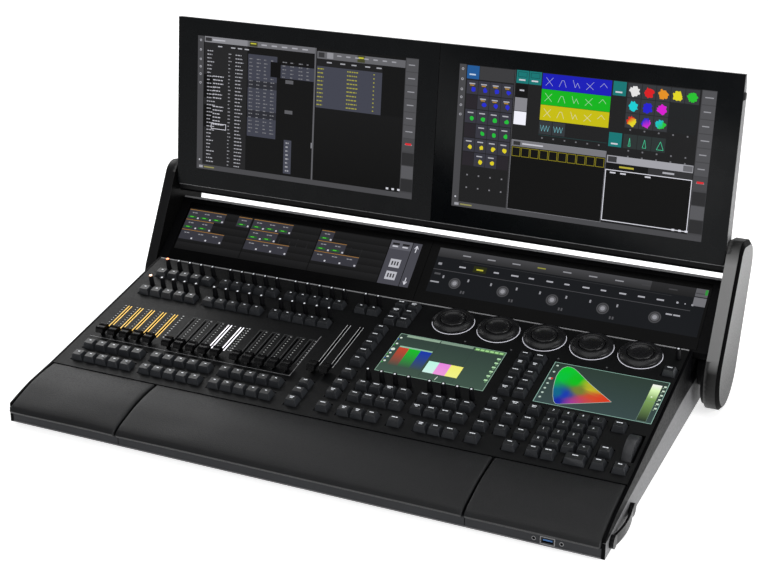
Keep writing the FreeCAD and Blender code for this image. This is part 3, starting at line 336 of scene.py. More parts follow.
for dull in ("fader_plastic", "knob_black", "strap_rubber"):
    FINISHES[dull].set("Specular IOR Level", 0.12)
LAMPS = {
    "amber": lamp("amber_light", (0.84, 0.52, 0.07), 1.0),
    "white": lamp("white_light", (0.92, 0.90, 0.95), 1.6),
    "red": lamp("red_light", (1.0, 0.25, 0.10), 3.0),
    "orange": lamp("orange_light", (1.0, 0.62, 0.40), 3.0),
    "print": powder_coat("print_white", (0.80, 0.81, 0.82), 0.55),
    "mark": lamp("mark_light", (0.66, 0.68, 0.72), 0.8),
    "dim_print": powder_coat("print_grey", (0.11, 0.112, 0.116), 0.55),
    "ring": lamp("ring_light", (0.80, 0.80, 0.88), 0.9),
    "blue": moulded("socket_blue", (0.03, 0.12, 0.32), 0.35),
    # pale grey for real rims and printed lines, and also for the painted highlights along the strip housing's
    # top edge and the wing's edges
    "trim": powder_coat("trim_grey", (0.30, 0.30, 0.31), 0.42),
}
PICTURE = picture_finish("lit_picture", 1.0)


# ---------------------------------------------------------------- mesh building

class Shape:
    """Closed thin solids gathered into one piece, in millimetres on one face of the desk."""

    def __init__(self):
        self.points, self.faces, self.tints = [], [], []

    def add(self, points, faces, tint=(1, 1, 1)):
        base = len(self.points)
        self.points += points
        self.faces += [[base + i for i in face_] for face_ in faces]
        self.tints += tint if isinstance(tint, list) else [tint] * len(points)

    def prism(self, outline, low, high, tint=(1, 1, 1)):
        n = len(outline)
        points = [(x, y, low) for x, y in outline] + [(x, y, high) for x, y in outline]
        faces = [list(range(n))[::-1], list(range(n, 2 * n))]
        faces += [[i, (i + 1) % n, n + (i + 1) % n, n + i] for i in range(n)]
        self.add(points, faces, tint * 2 if isinstance(tint, list) else tint)

    def block(self, x0, y0, x1, y1, low, high, tint=(1, 1, 1)):
        self.prism([(x0, y0), (x1, y0), (x1, y1), (x0, y1)], low, high, tint)

    def frame(self, x0, y0, x1, y1, wide, low, high, tint=(1, 1, 1)):
        self.block(x0, y0, x1, y0 + wide, low, high, tint)
        self.block(x0, y1 - wide, x1, y1, low, high, tint)
        self.block(x0, y0 + wide, x0 + wide, y1 - wide, low, high, tint)
        self.block(x1 - wide, y0 + wide, x1, y1 - wide, low, high, tint)

    def disc(self, x, y, radius, low, high, tint=(1, 1, 1), sides=20):
        turn = [2 * math.pi * i / sides for i in range(sides)]
        self.prism([(x + radius * math.cos(a), y + radius * math.sin(a)) for a in turn], low, high, tint)

    def ring(self, x, y, section, tint=(1, 1, 1), sides=72):
        """A solid turned round an axis out of the face: section is a closed list of (radius, height)."""
        n, points, faces = len(section), [], []
        for i in range(sides):
            a = 2 * math.pi * i / sides
            points += [(x + r * math.cos(a), y + r * math.sin(a), h) for r, h in section]
        for i in range(sides):
            j = (i + 1) % sides
            faces += [[i * n + k, j * n + k, j * n + (k + 1) % n, i * n + (k + 1) % n] for k in range(n)]
        self.add(points, faces, tint)

    def piece(self, name, place, body, finish, slot=None, smooth=False):
        mesh = bpy.data.meshes.new(name)
        mesh.from_pydata([place @ (Vector(p) * MM) for p in self.points], [], self.faces)
        tint = mesh.color_attributes.new("tint", "FLOAT_COLOR", "POINT")
        tint.data.foreach_set("color", [c for t in self.tints for c in (*t, 1.0)])
        mesh.materials.append(finish.material)
        made = bpy.data.objects.new(name, mesh)
        bpy.context.scene.collection.objects.link(made)
        if smooth:
            mesh.shade_smooth()
            mesh.set_sharp_from_angle(angle=math.radians(38))
        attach(made, body)
        return made


# ---------------------------------------------------------------- the carried-over nodes

for name, node in NODES.items():
    for slot in node.material_slots:
        slot.material = FINISHES[slot.material.name.split(".")[0]].material


def soften(width, names):
    """Rounds the edges of carried-over nodes by this many millimetres."""
    for name in names:
        node = NODES[name]
        weld = node.modifiers.new("weld", "WELD")
        weld.merge_threshold = 0.000002
        edges = node.modifiers.new("edges", "BEVEL")
        edges.width = width * MM
        edges.segments = 2
        edges.limit_method = "ANGLE"
        edges.angle_limit = math.radians(28)
        edges.harden_normals = True


BANKS = ("playback_keys", "executor_keys", "master_keys", "view_keys", "command_keys",
         "function_keys", "number_keys")
FADERS = [name for name in NODES if "fader" in name]
soften(0.3, BANKS)
soften(0.4, FADERS)
soften(0.8, ["arm_left", "arm_right", "side_cheeks", "front_rail", "base_tray"])
soften(0.7, ["strip_housing", "wing_housing", "wing_hinge_blocks", "rear_cover"])
soften(0.3, ["wing_glass", "feet", "rotary_knobs", "level_wheel"])


# ---------------------------------------------------------------- marks on the controls

def body_of(name):
    return NODES[name].parent.name.split(":")[1]


def solids(name, place):
    """The points of each solid of a node, on one face of the desk, in millimetres."""
    back = place.inverted()
    points = [tuple(round(c / MM, 2) for c in back @ v.co) for v in NODES[name].data.vertices]
    leader = {p: p for p in points}

    def find(p):
        while leader[p] != p:
            p = leader[p]
        return p

    for polygon in NODES[name].data.polygons:
        first = find(points[polygon.vertices[0]])
        for i in polygon.vertices[1:]:
            leader[find(points[i])] = first
    groups = {}
    for p in leader:
        groups.setdefault(find(p), []).append(p)
    found = [np.array(g) for g in groups.values()]
    return sorted(found, key=lambda g: (round(g[:, 1].mean()), g[:, 0].mean()))


def top_of(points):
    """Centre x, centre along and height of a solid's flat top."""
    high = points[:, 2].max()
    top = points[points[:, 2] > high - 0.05]
    return (top[:, 0].min() + top[:, 0].max()) / 2, (top[:, 1].min() + top[:, 1].max()) / 2, high


def word(shape, x, y, high, wide, tall, dice, tint=(1, 1, 1)):
    """A line of short dashes that stands in for a legend."""
    lengths = [dice.uniform(0.7, 1.6) for _ in range(dice.choice((2, 3, 3, 4)))]
    gap = 0.16 * wide / len(lengths)
    unit = (wide - gap * (len(lengths) - 1)) / sum(lengths)
    at = x - wide / 2
    for length in lengths:
        shape.block(at, y - tall / 2, at + length * unit, y + tall / 2, high - 0.05, high + 0.10, tint)
        at += length * unit + gap


# Sign of each number key, by column from the left and row from the front.
NUMBER_PAD = {(i, 4 - row): sign for row, signs in enumerate(("789+", "456x", "123-", "0./="))
              for i, sign in enumerate(signs)}
KEY_PITCH = 19
FIRST_NUMBER_KEY = (278, 22)
SIGN_SIZE = 4.6


def key_marks():
    dice = random.Random(7)
    for bank in BANKS:
        marks = Shape()
        for key in solids(bank, DECK):
            x, along, high = top_of(key)
            if bank in ("playback_keys", "executor_keys"):
                marks.block(x - 1.4, along + 1.2, x + 1.4, along + 2.4, high - 0.05, high + 0.12)
            elif bank == "number_keys" and 270 < x < 340 and along > 36:
                place = (round((x - FIRST_NUMBER_KEY[0]) / KEY_PITCH),
                         round((along + 1 - FIRST_NUMBER_KEY[1]) / KEY_PITCH))
                symbol(marks, x, along + 0.8, high, NUMBER_PAD[place])
            else:
                word(marks, x, along + 2.0, high, dice.uniform(5.0, 8.0), 1.3, dice)
                if dice.random() < 0.25:
                    word(marks, x, along - 0.6, high, dice.uniform(3.0, 5.0), 1.1, dice)
        marks.piece(bank + "_marks", DECK, body_of(bank), LAMPS["mark"], "key_plastic")


def symbol(shape, x, y, high, sign):
    """A numeral or arithmetic sign, as a thin solid."""
    curve = bpy.data.curves.new("sign", "FONT")
    curve.body = sign
    curve.size = SIGN_SIZE
    curve.align_x = "CENTER"
    curve.align_y = "CENTER"
    curve.extrude = 0.07
    curve.resolution_u = 3
    holder = bpy.data.objects.new("sign", curve)
    mesh = bpy.data.meshes.new_from_object(holder)
    shape.add([(x + v.co.x, y + v.co.y, high + 0.04 + v.co.z) for v in mesh.vertices],
              [list(p.vertices) for p in mesh.polygons])
    bpy.data.objects.remove(holder)
    bpy.data.curves.remove(curve)
    bpy.data.meshes.remove(mesh)


def knob_dots():
    plain, ends = Shape(), {"red": Shape(), "orange": Shape()}
    for knob in solids("rotary_knobs", DECK):
        x, along, high = top_of(knob)
        if x < -365:
            ends["red" if along > 240 else "orange"].disc(x, along, 2.2, high - 0.1, high + 0.35)
        else:
            plain.disc(x, along, 1.35, high - 0.1, high + 0.25)
    plain.piece("knob_dots", DECK, "base", LAMPS["mark"], "knob_black")
    for colour, tip in ends.items():
        tip.piece("knob_glow_" + colour, DECK, "base", LAMPS[colour], "knob_black")


COLUMNS = [-372 + 106 * group + 19 * i for group in range(3) for i in range(5)]
ENCODERS = [83.5 + 65 * i for i in range(5)]


PRINT = (-0.02, 0.06)
SCALE_START, SCALE_STEP, SCALE_MARKS = 97.5, 5.4, 11
ENCODER_ALONG = 251


def deck_print():
    """Fader scales, border lines and slot outlines on the plate."""
    scales, outlines = Shape(), Shape()
    for index, x in enumerate(COLUMNS):
        side = -1 if index < 5 else 1
        for k in range(SCALE_MARKS):
            along = SCALE_START + SCALE_STEP * k
            wide = 1.3 if k % 5 == 0 else 0.9
            scales.block(x + side * 7.6 - wide, along, x + side * 7.6 + wide, along + 0.75, *PRINT)
        if index in (4, 9):
            for k in range(SCALE_MARKS):
                along = SCALE_START + SCALE_STEP * k
                scales.block(x + 10.4, along, x + 12.6, along + 1.4, *PRINT)
        if index > 4 and index not in (8, 9):
            for offset in (-3.4, 3.0):
                outlines.block(x + offset, 97, x + offset + 0.4, 154.4, *PRINT)
            outlines.block(x - 3.4, 154.4, x + 9.2, 154.8, *PRINT)
    border = Shape()
    border.block(-387, 70.6, -75, 71.2, *PRINT)
    border.block(-75.6, 71.2, -75.0, 166, *PRINT)
    border.piece("deck_border", DECK, "base", LAMPS["trim"], "deck_paint")
    for x in (-50, -31):
        for offset in (-2.6, 2.1):
            scales.block(x + offset, 104, x + offset + 0.5, 202, *PRINT)
    scales.piece("deck_scales", DECK, "base", LAMPS["print"], "deck_paint")
    outlines.piece("deck_outlines", DECK, "base", LAMPS["dim_print"], "deck_paint")


def fader_lights():
    for colour, chosen in (("amber", COLUMNS[:5]), ("white", COLUMNS[8:10])):
        bars = Shape()
        for x in chosen:
            for low, high in ((x - 3.0, x - 1.45), (x + 1.45, x + 3.0)):
                bars.block(low, 95, high, 152.3, -0.02, 0.18)
        bars.piece("fader_lights_" + colour, DECK, "base", LAMPS[colour], "deck_paint")


RING_PROFILE = ((17.9, 2.4), (28.2, 0.9), (28.5, 1.3), (28.5, 3.3), (28.3, 3.9), (27.6, 4.6), (25.2, 5.8),
                (22.9, 6.8), (21.6, 7.1), (20.2, 7.1), (18.9, 6.8), (18.1, 6.4), (17.9, 6.0))
KNOB_PROFILE = ((0.3, 2.9), (17.1, 2.9), (17.1, 6.3), (16.8, 7.1), (16.2, 7.6), (15.4, 7.8), (14.6, 7.6),
                (13.7, 7.1), (12.5, 6.5), (11.0, 6.1), (9.0, 5.8), (5.0, 5.6), (0.3, 5.55))


def encoder_turnings():
    """Finely turned outer rings and dished knobs in place of the carried-over ones."""
    for index, x in enumerate(ENCODERS, start=1):
        for part, profile, colour in (("ring", RING_PROFILE, "ring_black"),
                                      ("knob", KNOB_PROFILE, "encoder_black")):
            name = "encoder_%s_%d" % (part, index)
            turning = Shape()
            turning.ring(x, ENCODER_ALONG, list(profile), sides=120)
            made = turning.piece(name + "_turning", DECK, name, FINISHES[colour], colour, smooth=True)
            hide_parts(name)


def encoder_lights():
    for index, x in enumerate(ENCODERS, start=1):
        light = Shape()
        light.ring(x, ENCODER_ALONG, [(28.65, -0.02), (29.15, -0.02), (29.15, 0.4), (28.65, 0.4)], sides=96)
        light.piece("encoder_light_%d" % index, DECK, "base", LAMPS["ring"], "ring_black")
    small = Shape()
    for x in [x + 32 for x in ENCODERS[:4]]:
        small.disc(x, 213, 1.3, -0.02, 0.25)
    small.piece("encoder_status_dots", DECK, "base", LAMPS["dim_print"], "deck_paint")


def rail_details():
    """Seam lines and small holes on the front rail, the holes drawn as black discs of painted shade, and the
    tongue of its socket.
    """
    front = Matrix.Translation((0, -288.6 * MM, 0)) @ Matrix.Rotation(math.radians(90), 4, "X")
    dark = Shape()
    for x in (-236.5, 236.5):
        dark.block(x - 0.5, 6.5, x + 0.5, 17.6, -0.05, 0.12)
    # painted shade: each small hole is a flat black disc
    for x in (320.5, 353.5):
        dark.disc(x, 11.5, 1.9, -0.05, 0.12)
    for x in (-404.1, 399.6):
        dark.block(x, 4.4, x + 4.5, 24.6, -0.05, 0.25)
    dark.piece("rail_seams", front, "base", FINISHES["black_paint"], "rail_paint")
    rims = Shape()
    for x in (320.5, 353.5):
        rims.ring(x, 11.5, [(1.9, -0.05), (2.5, -0.05), (2.5, 0.2), (1.9, 0.2)], sides=28)
    rims.frame(328.2, 6.7, 345.8, 16.3, 0.7, -0.05, 0.7)
    rims.piece("rail_rims", front, "base", LAMPS["trim"], "rail_paint")
    tongue = Shape()
    tongue.block(331.4, 10.9, 342.6, 12.9, -1.0, -0.3)
    tongue.piece("socket_tongue", front, "base", LAMPS["blue"], "socket_black")


SCREW = [(0.4, -0.05), (3.2, -0.05), (3.2, 0.5), (2.6, 1.1), (1.5, 1.1), (1.1, 0.5), (0.4, 0.5)]


def rear_details():
    """Rims, contacts, louvres and screws on the rear panel, where x is seen from behind."""
    rear = (Matrix.Translation((0, 298 * MM, 0)) @ Matrix.Rotation(math.pi, 4, "Z")
            @ Matrix.Rotation(math.pi / 2, 4, "X"))
    metal, louvres = Shape(), Shape()
    for x in (60 - 38 * i for i in range(6)):
        metal.ring(x, 62, [(10.2, -0.05), (13.6, -0.05), (13.6, 0.7), (12.9, 1.2), (10.9, 1.2), (10.2, 0.7)],
                   sides=48)
        for turn in (0.5, 2.6, 4.7):
            metal.disc(x + 4.6 * math.cos(turn), 62 + 4.6 * math.sin(turn), 1.2, -15.2, -6.0)
    for x, z, wide, high in ((60, 30, 6, 4.5), (30, 30, 6, 4.5), (300, 60, 12, 8.5)):
        metal.frame(x - wide - 1.6, z - high - 1.6, x + wide + 1.6, z + high + 1.6, 1.3, -0.05, 0.6)
        metal.block(x - wide * 0.6, z - 0.9, x + wide * 0.6, z + 0.9, -15.2, -3.0)
    for x in (-392, -200, 0, 200, 392):
        for z in (14, 98):
            metal.ring(x, z, SCREW, sides=24)
    for start in (-370, -290, 130, 210):
        for k in range(9):
            low = 32 + 6 * k
            louvres.prism([(start, low), (start + 66, low), (start + 64, low + 2.6), (start + 2, low + 2.6)],
                          -0.05, 1.1)
    metal.piece("rear_fittings", rear, "base", FINISHES["supply_steel"], "socket_black")
    louvres.piece("rear_louvres", rear, "base", FINISHES["rail_paint"], "cover_paint")


def wing_back_details():
    """Louvres and screws on the sloping back of the wing."""
    louvres, screws = Shape(), Shape()

    def depth(up):
        return 29 - (up - 105) * 4 / 77 if up > 105 else 34 - (up + 18) * 5 / 123

    for centre in (-210, 210):
        for k in range(9):
            up = 112 + 7 * k
            back = -depth(up + 1.2)
            for x in (centre - 74, centre + 4):
                louvres.prism([(x, up), (x + 70, up), (x + 68, up + 2.4), (x + 2, up + 2.4)],
                              back - 1.1, back + 0.3)
    for x in (-404, -136, 136, 404):
        for up in (-6, 96, 174):
            back = -depth(up)
            screws.disc(x, up, 3.0, back - 0.9, back + 0.4, sides=24)
    louvres.piece("wing_louvres", WING, "wing_tilt", FINISHES["cover_paint"], "wing_metal")
    screws.piece("wing_screws", WING, "wing_tilt", FINISHES["rail_paint"], "wing_metal")


# A pale grey strip along the back of the deck, painted highlights along the strip housing's top edge and the
# wing's edges, and a catch on the wing's side.
def deck_trim():
    trim = Shape()
    trim.block(-399.5, 280.2, 399.5, 282.3, -0.02, 0.45)
    trim.piece("deck_trim", DECK, "base", LAMPS["trim"], "deck_paint")
    # painted highlight: a pale grey strip along the strip housing's top edge stands in for the light caught
    # by its rim
    rim = Shape()
    rim.block(-418.5, 114.0, 418.5, 116.6, -0.9, 0.2)
    rim.piece("strip_top_trim", STRIP, "wing_lift", LAMPS["trim"], "strip_paint")
    # painted highlight: pale grey lines along the wing's top edge and along the lower edge of its glass
    edge = Shape()
    edge.block(-417.0, 222.9, 417.0, 223.9, -6.5, -3.3)
    edge.block(-417.0, -29.2, 417.0, -28.5, -5.4, -4.1)
    edge.piece("wing_edge_trim", WING, "wing_tilt", LAMPS["trim"], "wing_metal")
    clip = Shape()
    clip.prism([(417.4, 190), (420.4, 191.5), (420.4, 199.5), (417.4, 201)], -9.0, -3.0)
    clip.piece("wing_side_catch", WING, "wing_tilt", FINISHES["socket_black"], "wing_metal")


# ---------------------------------------------------------------- padded wrist rests

REST_SPANS = {"wrist_rest_left": (-399.6, -237.3), "wrist_rest_centre": (-235.7, 235.7),
              "wrist_rest_right": (237.3, 399.6)}
# Cross-section of a rest, as (y, z): back face, crown, front roll and underside.
REST_OUTLINE = ((-196.3, 37.0), (-196.3, 49.7), (-198.0, 50.1), (-219.4, 48.7), (-245.2, 44.6),
                (-268.2, 38.2), (-286.0, 32.3), (-294.6, 28.0), (-297.4, 24.0), (-295.4, 20.4),
                (-289.0, 18.8), (-276.8, 18.8))
CURVED = range(2, 10)
ROUND = 2.6
# In metres: the most that the cloth may swell, and where the skin is glued, under a height or behind a line.
SWELL_CAP = 0.0008
GLUED_BELOW, GLUED_BEHIND = 0.0200, -0.1966
PRESSURE, STIFFNESS, CLOTH_FRAMES = 4.0, 25.0, 20
SETTLE_ROUNDS = 10


def rest_section():
    """The outline with its crown and roll drawn as a smooth curve, at steps of about 4 mm."""
    count, section = len(REST_OUTLINE), []
    for i in range(count):
        before, start, end, after = (Vector(REST_OUTLINE[(i + k) % count]) for k in (-1, 0, 1, 2))
        steps = max(1, round((end - start).length / 4))
        for t in (step / steps for step in range(steps)):
            spot = start.lerp(end, t)
            if i in CURVED:
                spot = 0.5 * (2 * start + (end - before) * t
                              + (2 * before - 5 * start + 4 * end - after) * t ** 2
                              + (3 * start - before - 3 * end + after) * t ** 3)
            section.append(spot)
    return section


def rest_skin(low, high):
    """A rest from low x to high x, its end edges rounded over, in metres."""
    section = rest_section()
    count = len(section)
    inward = []
    for i in range(count):
        along = (section[(i + 1) % count] - section[i - 1]).normalized()
        inward.append(Vector((-along.y, along.x)))
    ends = [0.0, 0.35, 1.0, 1.8, ROUND]
    inner = np.linspace(low + ROUND, high - ROUND, round((high - low) / 5))[1:-1]
    stations = [low + d for d in ends] + list(inner) + [high - d for d in reversed(ends)]
    points = []
    for x in stations:
        gap = ROUND - min(x - low, high - x, ROUND)
        inset = ROUND - math.sqrt(ROUND ** 2 - gap ** 2)
        points += [Vector((x, *(spot + side * inset))) * MM for spot, side in zip(section, inward)]
    last = count * (len(stations) - 1)
    faces = [[k * count + i, k * count + (i + 1) % count,
              (k + 1) * count + (i + 1) % count, (k + 1) * count + i]
             for k in range(len(stations) - 1) for i in range(count)]
    faces += [list(range(count))[::-1], [last + i for i in range(count)]]
    return points, faces


def places(mesh):
    spots = np.empty(len(mesh.vertices) * 3)
    mesh.vertices.foreach_get("co", spots)
    return spots.reshape(-1, 3)


def swollen(holder):
    """Where the cloth solver takes the skin when the filling presses out; back and underside are glued."""
    group = holder.vertex_groups.new(name="glued")
    start = places(holder.data)
    glued = [i for i, spot in enumerate(start) if spot[2] < GLUED_BELOW or spot[1] > GLUED_BEHIND]
    group.add(glued, 1.0, "REPLACE")
    cloth = holder.modifiers.new("cloth", "CLOTH")
    cloth.settings.vertex_group_mass = "glued"
    cloth.settings.use_pressure = True
    cloth.settings.uniform_pressure_force = PRESSURE
    cloth.settings.tension_stiffness = STIFFNESS
    cloth.settings.compression_stiffness = STIFFNESS
    cloth.settings.effector_weights.gravity = 0.0
    cloth.point_cache.frame_start = 1
    cloth.point_cache.frame_end = CLOTH_FRAMES
    for step in range(1, CLOTH_FRAMES + 1):
        bpy.context.scene.frame_set(step)
    graph = bpy.context.evaluated_depsgraph_get()
    result = bpy.data.meshes.new_from_object(holder.evaluated_get(graph))
    moved = places(result) - start
    bpy.data.meshes.remove(result)
    holder.modifiers.clear()
    holder.vertex_groups.clear()
    bpy.context.scene.frame_set(1)
    reach = np.linalg.norm(moved, axis=1, keepdims=True)
    moved *= np.minimum(1.0, SWELL_CAP / np.maximum(reach, 1e-9))
    grid = moved.reshape(-1, len(rest_section()), 3)
    for _ in range(SETTLE_ROUNDS):
        grid = (grid + np.roll(grid, 1, axis=1) + np.roll(grid, -1, axis=1)) / 3
        grid[1:-1] = (grid[:-2] + grid[1:-1] + grid[2:]) / 3
    ended = start + grid.reshape(-1, 3)
    ended[glued] = start[glued]
    ended[:, 0] = ended[:, 0].clip(start[:, 0].min(), start[:, 0].max())
    ended[:, 1] = np.minimum(ended[:, 1], start[:, 1].max())
    return ended


def padded_rest(name):
    """A crowned leather pad, blown up by cloth simulation."""
    points, faces = rest_skin(*REST_SPANS[name])
    mesh = bpy.data.meshes.new(name + "_skin")
    mesh.from_pydata(points, [], faces)
    holder = bpy.data.objects.new(name + "_pad", mesh)
    bpy.context.scene.collection.objects.link(holder)
    mesh.vertices.foreach_set("co", swollen(holder).ravel())
    mesh.update()
    mesh.materials.append(FINISHES["rest_leather"].material)
    mesh.shade_smooth()
    mesh.set_sharp_from_angle(angle=math.radians(50))
    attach(holder, "base")
    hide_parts(name)


# ---------------------------------------------------------------- lit pictures

def rgb(red, green, blue):
    """A screen colour, from the usual 0 to 255 numbers."""
    def linear(c):
        c /= 255
        return c / 12.92 if c <= 0.04045 else ((c + 0.055) / 1.055) ** 2.4
    return linear(red), linear(green), linear(blue)


def ink(tint):
    """A colour from a grey level or a triple of 0 to 255; a list is one ready colour for each point."""
    if isinstance(tint, list):
        return tint
    return rgb(tint, tint, tint * 1.04) if isinstance(tint, int) else rgb(*tint)


class Display(Shape):
    """A lit picture on a glass front.

    Places on it are thousandths of its width and height, from its top left corner. Line widths and
    radii are millimetres, and tints are as ink takes them.
    """

    LAYER = 0.05
    WORD_GAP = 2.8

    def __init__(self, x, y, width, height, ground, base=0.0, seed=0):
        super().__init__()
        self.left, self.bottom, self.width, self.height, self.base = x, y, width, height, base
        self.dice = random.Random(seed)
        self.block(x, y, x + width, y + height, base - 0.03, base + self.LAYER, ink(ground))

    def at(self, u, v):
        return self.left + u / 1000 * self.width, self.bottom + (1 - v / 1000) * self.height

    def between(self, layer):
        return self.base + self.LAYER * layer - 0.01, self.base + self.LAYER * (layer + 1)

    def area(self, u0, v0, u1, v1, tint, layer=1):
        x0, y1 = self.at(u0, v0)
        x1, y0 = self.at(u1, v1)
        self.block(x0, y0, x1, y1, *self.between(layer), ink(tint))

    def areas(self, *rows):
        for row in rows:
            self.area(*row)

    def row(self, count, step, u0, v0, u1, v1, tint, layer=2):
        """The same area again and again, to the right."""
        for k in range(count):
            self.area(u0 + step * k, v0, u1 + step * k, v1, tint, layer)

    def fade(self, u0, v0, u1, v1, top, bottom, layer=1, steps=1):
        """An area whose colour runs from top to bottom."""
        for k in range(steps):
            a, b = k / steps, (k + 1) / steps
            tints = [tuple(t + (s - t) * f for t, s in zip(ink(top), ink(bottom))) for f in (b, b, a, a)]
            self.area(u0, v0 + (v1 - v0) * a, u1, v0 + (v1 - v0) * b, tints, layer)

    def outline(self, u0, v0, u1, v1, wide, tint, layer=2):
        x0, y1 = self.at(u0, v0)
        x1, y0 = self.at(u1, v1)
        self.frame(x0, y0, x1, y1, wide, *self.between(layer), ink(tint))

    def dot(self, u, v, radius, tint, layer=2, sides=18):
        self.disc(*self.at(u, v), radius, *self.between(layer), ink(tint), sides)

    def blob(self, u, v, radius, tint, layer=3, sides=26):
        """A brushed blot with an uneven rim; where the tint is a pair, the second fills its far half."""
        x, y = self.at(u, v)
        near, far = tint if isinstance(tint, list) else (tint, tint)
        rim, colours = [], []
        for i in range(sides):
            turn = 2 * math.pi * i / sides
            reach = radius * self.dice.uniform(0.72, 1.12)
            rim.append((x + reach * math.cos(turn), y + reach * math.sin(turn)))
            colours.append(ink(near if math.cos(turn + 0.7) < 0 else far))
        self.prism(rim, *self.between(layer), colours)

    def dashes(self, u0, v0, u1, rows, pitch, tall, tint, fill, layer=2):
        """A column of lines, each broken into short words, that stands in for a list."""
        for row in range(rows):
            at, end = u0, u0 + (u1 - u0) * self.dice.uniform(*fill)
            while at < end:
                reach = min(at + self.dice.uniform(5, 13), end)
                self.area(at, v0 + row * pitch, reach, v0 + row * pitch + tall, tint, layer)
                at = reach + self.WORD_GAP

    def stroke(self, points, wide, tint, layer=3):
        """A line through several places."""
        spots = [self.at(*p) for p in points]
        for (x0, y0), (x1, y1) in zip(spots, spots[1:]):
            length = math.hypot(x1 - x0, y1 - y0)
            across, along = -(y1 - y0) / length * wide / 2, (x1 - x0) / length * wide / 2
            self.prism([(x0 + across, y0 + along), (x0 - across, y0 - along),
                        (x1 - across, y1 - along), (x1 + across, y1 + along)][::-1],
                       *self.between(layer), ink(tint))

    def show(self, name, place, body, slot):
        self.piece(name, place, body, PICTURE, slot)


SLATE, DULL_SLATE, TEAL = (66, 68, 80), (74, 74, 82), (20, 122, 120)
BLUE, GREEN, YELLOW, MUSTARD = (38, 46, 214), (34, 196, 60), (230, 214, 34), (208, 204, 60)
LINE = 26.8


def side_bars(view):
    """Icon column, tab column and foot bar that both main pictures share."""
    view.area(0, 0, 28, 1000, 74)
    low, high = view.base + 0.09, view.base + 0.15
    for v in (20, 90, 160, 215, 270, 335):
        view.ring(*view.at(14, v + 12), [(1.0, low), (1.7, low), (1.7, high), (1.0, high)], ink(190), 14)
    view.dot(14, 930, 1.3, 205)
    view.area(945, 0, 1000, 1000, 70)
    for k in range(7):
        v = 5 + 94 * k
        view.area(948, v, 999, v + 88, 84 if k < 6 else 74, 2)
        view.area(958, v + 39, 984 + 6 * view.dice.random(), v + 46, 158, 3)
    view.area(960, 600, 986, 614, (226, 44, 52), 4)
    for k, level in enumerate((46, 92, 46)):
        view.area(948, 670 + 95 * k, 999, 760 + 95 * k, level, 2)
    view.areas((0, 962, 1000, 1000, 76, 2), (12, 972, 30, 990, 165, 3), (36, 976, 85, 986, (150, 146, 90), 3))
    view.row(3, 25, 885, 938, 896, 952, 215, 4)


def left_main():
    view = Display(-384.5, 0.0, 354.0, 199.1, 15, seed=21)
    side_bars(view)
    view.areas((32, 0, 235, 42, 140), (36, 8, 66, 34, 52, 2), (72, 17, 130, 26, 190, 2),
               (235, 0, 545, 42, 112), (245, 6, 282, 38, (64, 66, 40), 2), (250, 14, 276, 22, MUSTARD, 3))
    view.row(5, 47, 300, 16, 325, 26, 172)
    view.areas((32, 42, 235, 960, 36), (32, 280, 70, 455, 8, 2), (32, 505, 70, 675, 8, 2))
    for u in (96, 158, 190, 222):
        view.area(u, 62, u + 20, 70, 185, 2)
    view.dashes(46, 100, 85, 32, LINE, 7.5, 176, (0.35, 1.0), 3)
    view.dashes(75, 285, 128, 7, LINE, 7.5, 196, (0.6, 1.0), 3)
    view.dashes(75, 510, 128, 6, LINE, 7.5, 196, (0.6, 1.0), 3)
    view.dashes(147, 110, 163, 32, LINE, 7.0, 150, (0.3, 0.9))
    view.dashes(180, 112, 218, 32, LINE, 7.5, 172, (0.6, 1.0))
    view.outline(68, 640, 140, 684, 0.75, 235, 4)
    view.areas((240, 95, 375, 700, SLATE), (240, 285, 375, 340, (44, 45, 52), 2),
               (240, 505, 375, 560, (44, 45, 52), 2))
    for u in (246, 280, 314, 346):
        view.dashes(u, 125, u + 20, 21, LINE, 7.0, 128, (0.5, 1.0), 3)
    view.areas((345, 135, 392, 245, 6, 4), (392, 150, 545, 245, SLATE))
    for u in (400, 436, 474, 510):
        view.dashes(u, 125, u + 20, 5, LINE, 7.0, 128, (0.5, 1.0), 3)
    view.areas((415, 255, 451, 281, 96, 2), (415, 475, 451, 501, 96, 2), (415, 695, 450, 945, (72, 74, 86)))
    view.dashes(424, 712, 440, 8, 29.5, 10, 170, (0.6, 1.0))
    view.areas((545, 0, 552, 962, 98, 2), (540, 690, 545, 730, 140, 3), (556, 20, 944, 72, 104),
               (562, 28, 588, 62, 56, 2), (600, 24, 628, 66, 150, 2), (735, 22, 768, 68, (70, 72, 40), 2),
               (740, 32, 762, 42, MUSTARD, 3))
    view.row(7, 40, 645, 36, 664, 45, 165, 3)
    view.areas((556, 72, 846, 125, 30), (556, 125, 846, 425, (68, 70, 82)))
    for u in (600, 660, 710, 770, 820):
        view.area(u, 90, u + 22, 99, 170, 2)
    for u0, u1 in ((560, 588), (692, 742), (808, 814)):
        view.dashes(u0, 140, u1, 10, 28.8, 8.5, (166, 162, 66), (0.85, 1.0))
    view.fade(556, 425, 944, 962, 20, 10)
    view.show("picture_main_left", WING, "wing_tilt", "wing_front_glass")


BLOTS = (((236, 236, 236), (226, 28, 34), (238, 150, 34), (234, 222, 36), (40, 200, 50)),
         ((24, 214, 220), (36, 30, 214), (224, 26, 216)),
         ([(226, 40, 30), (236, 222, 40)], [(30, 40, 214), (218, 40, 214)], [(24, 200, 210), (40, 204, 60)]))
# Line figures of the movement tiles, in shares of a tile.
SIGNS = (((0, 0), (1, 1)), ((0, 1), (0.35, 0.2), (0.65, 0.2), (1, 1)),
         ((0, 0), (0.35, 0.9), (0.65, 0.3), (1, 0.9)), ((0, 0.2), (1, 0.9)), ((0, 0.5), (0.5, 0), (1, 0.5)))


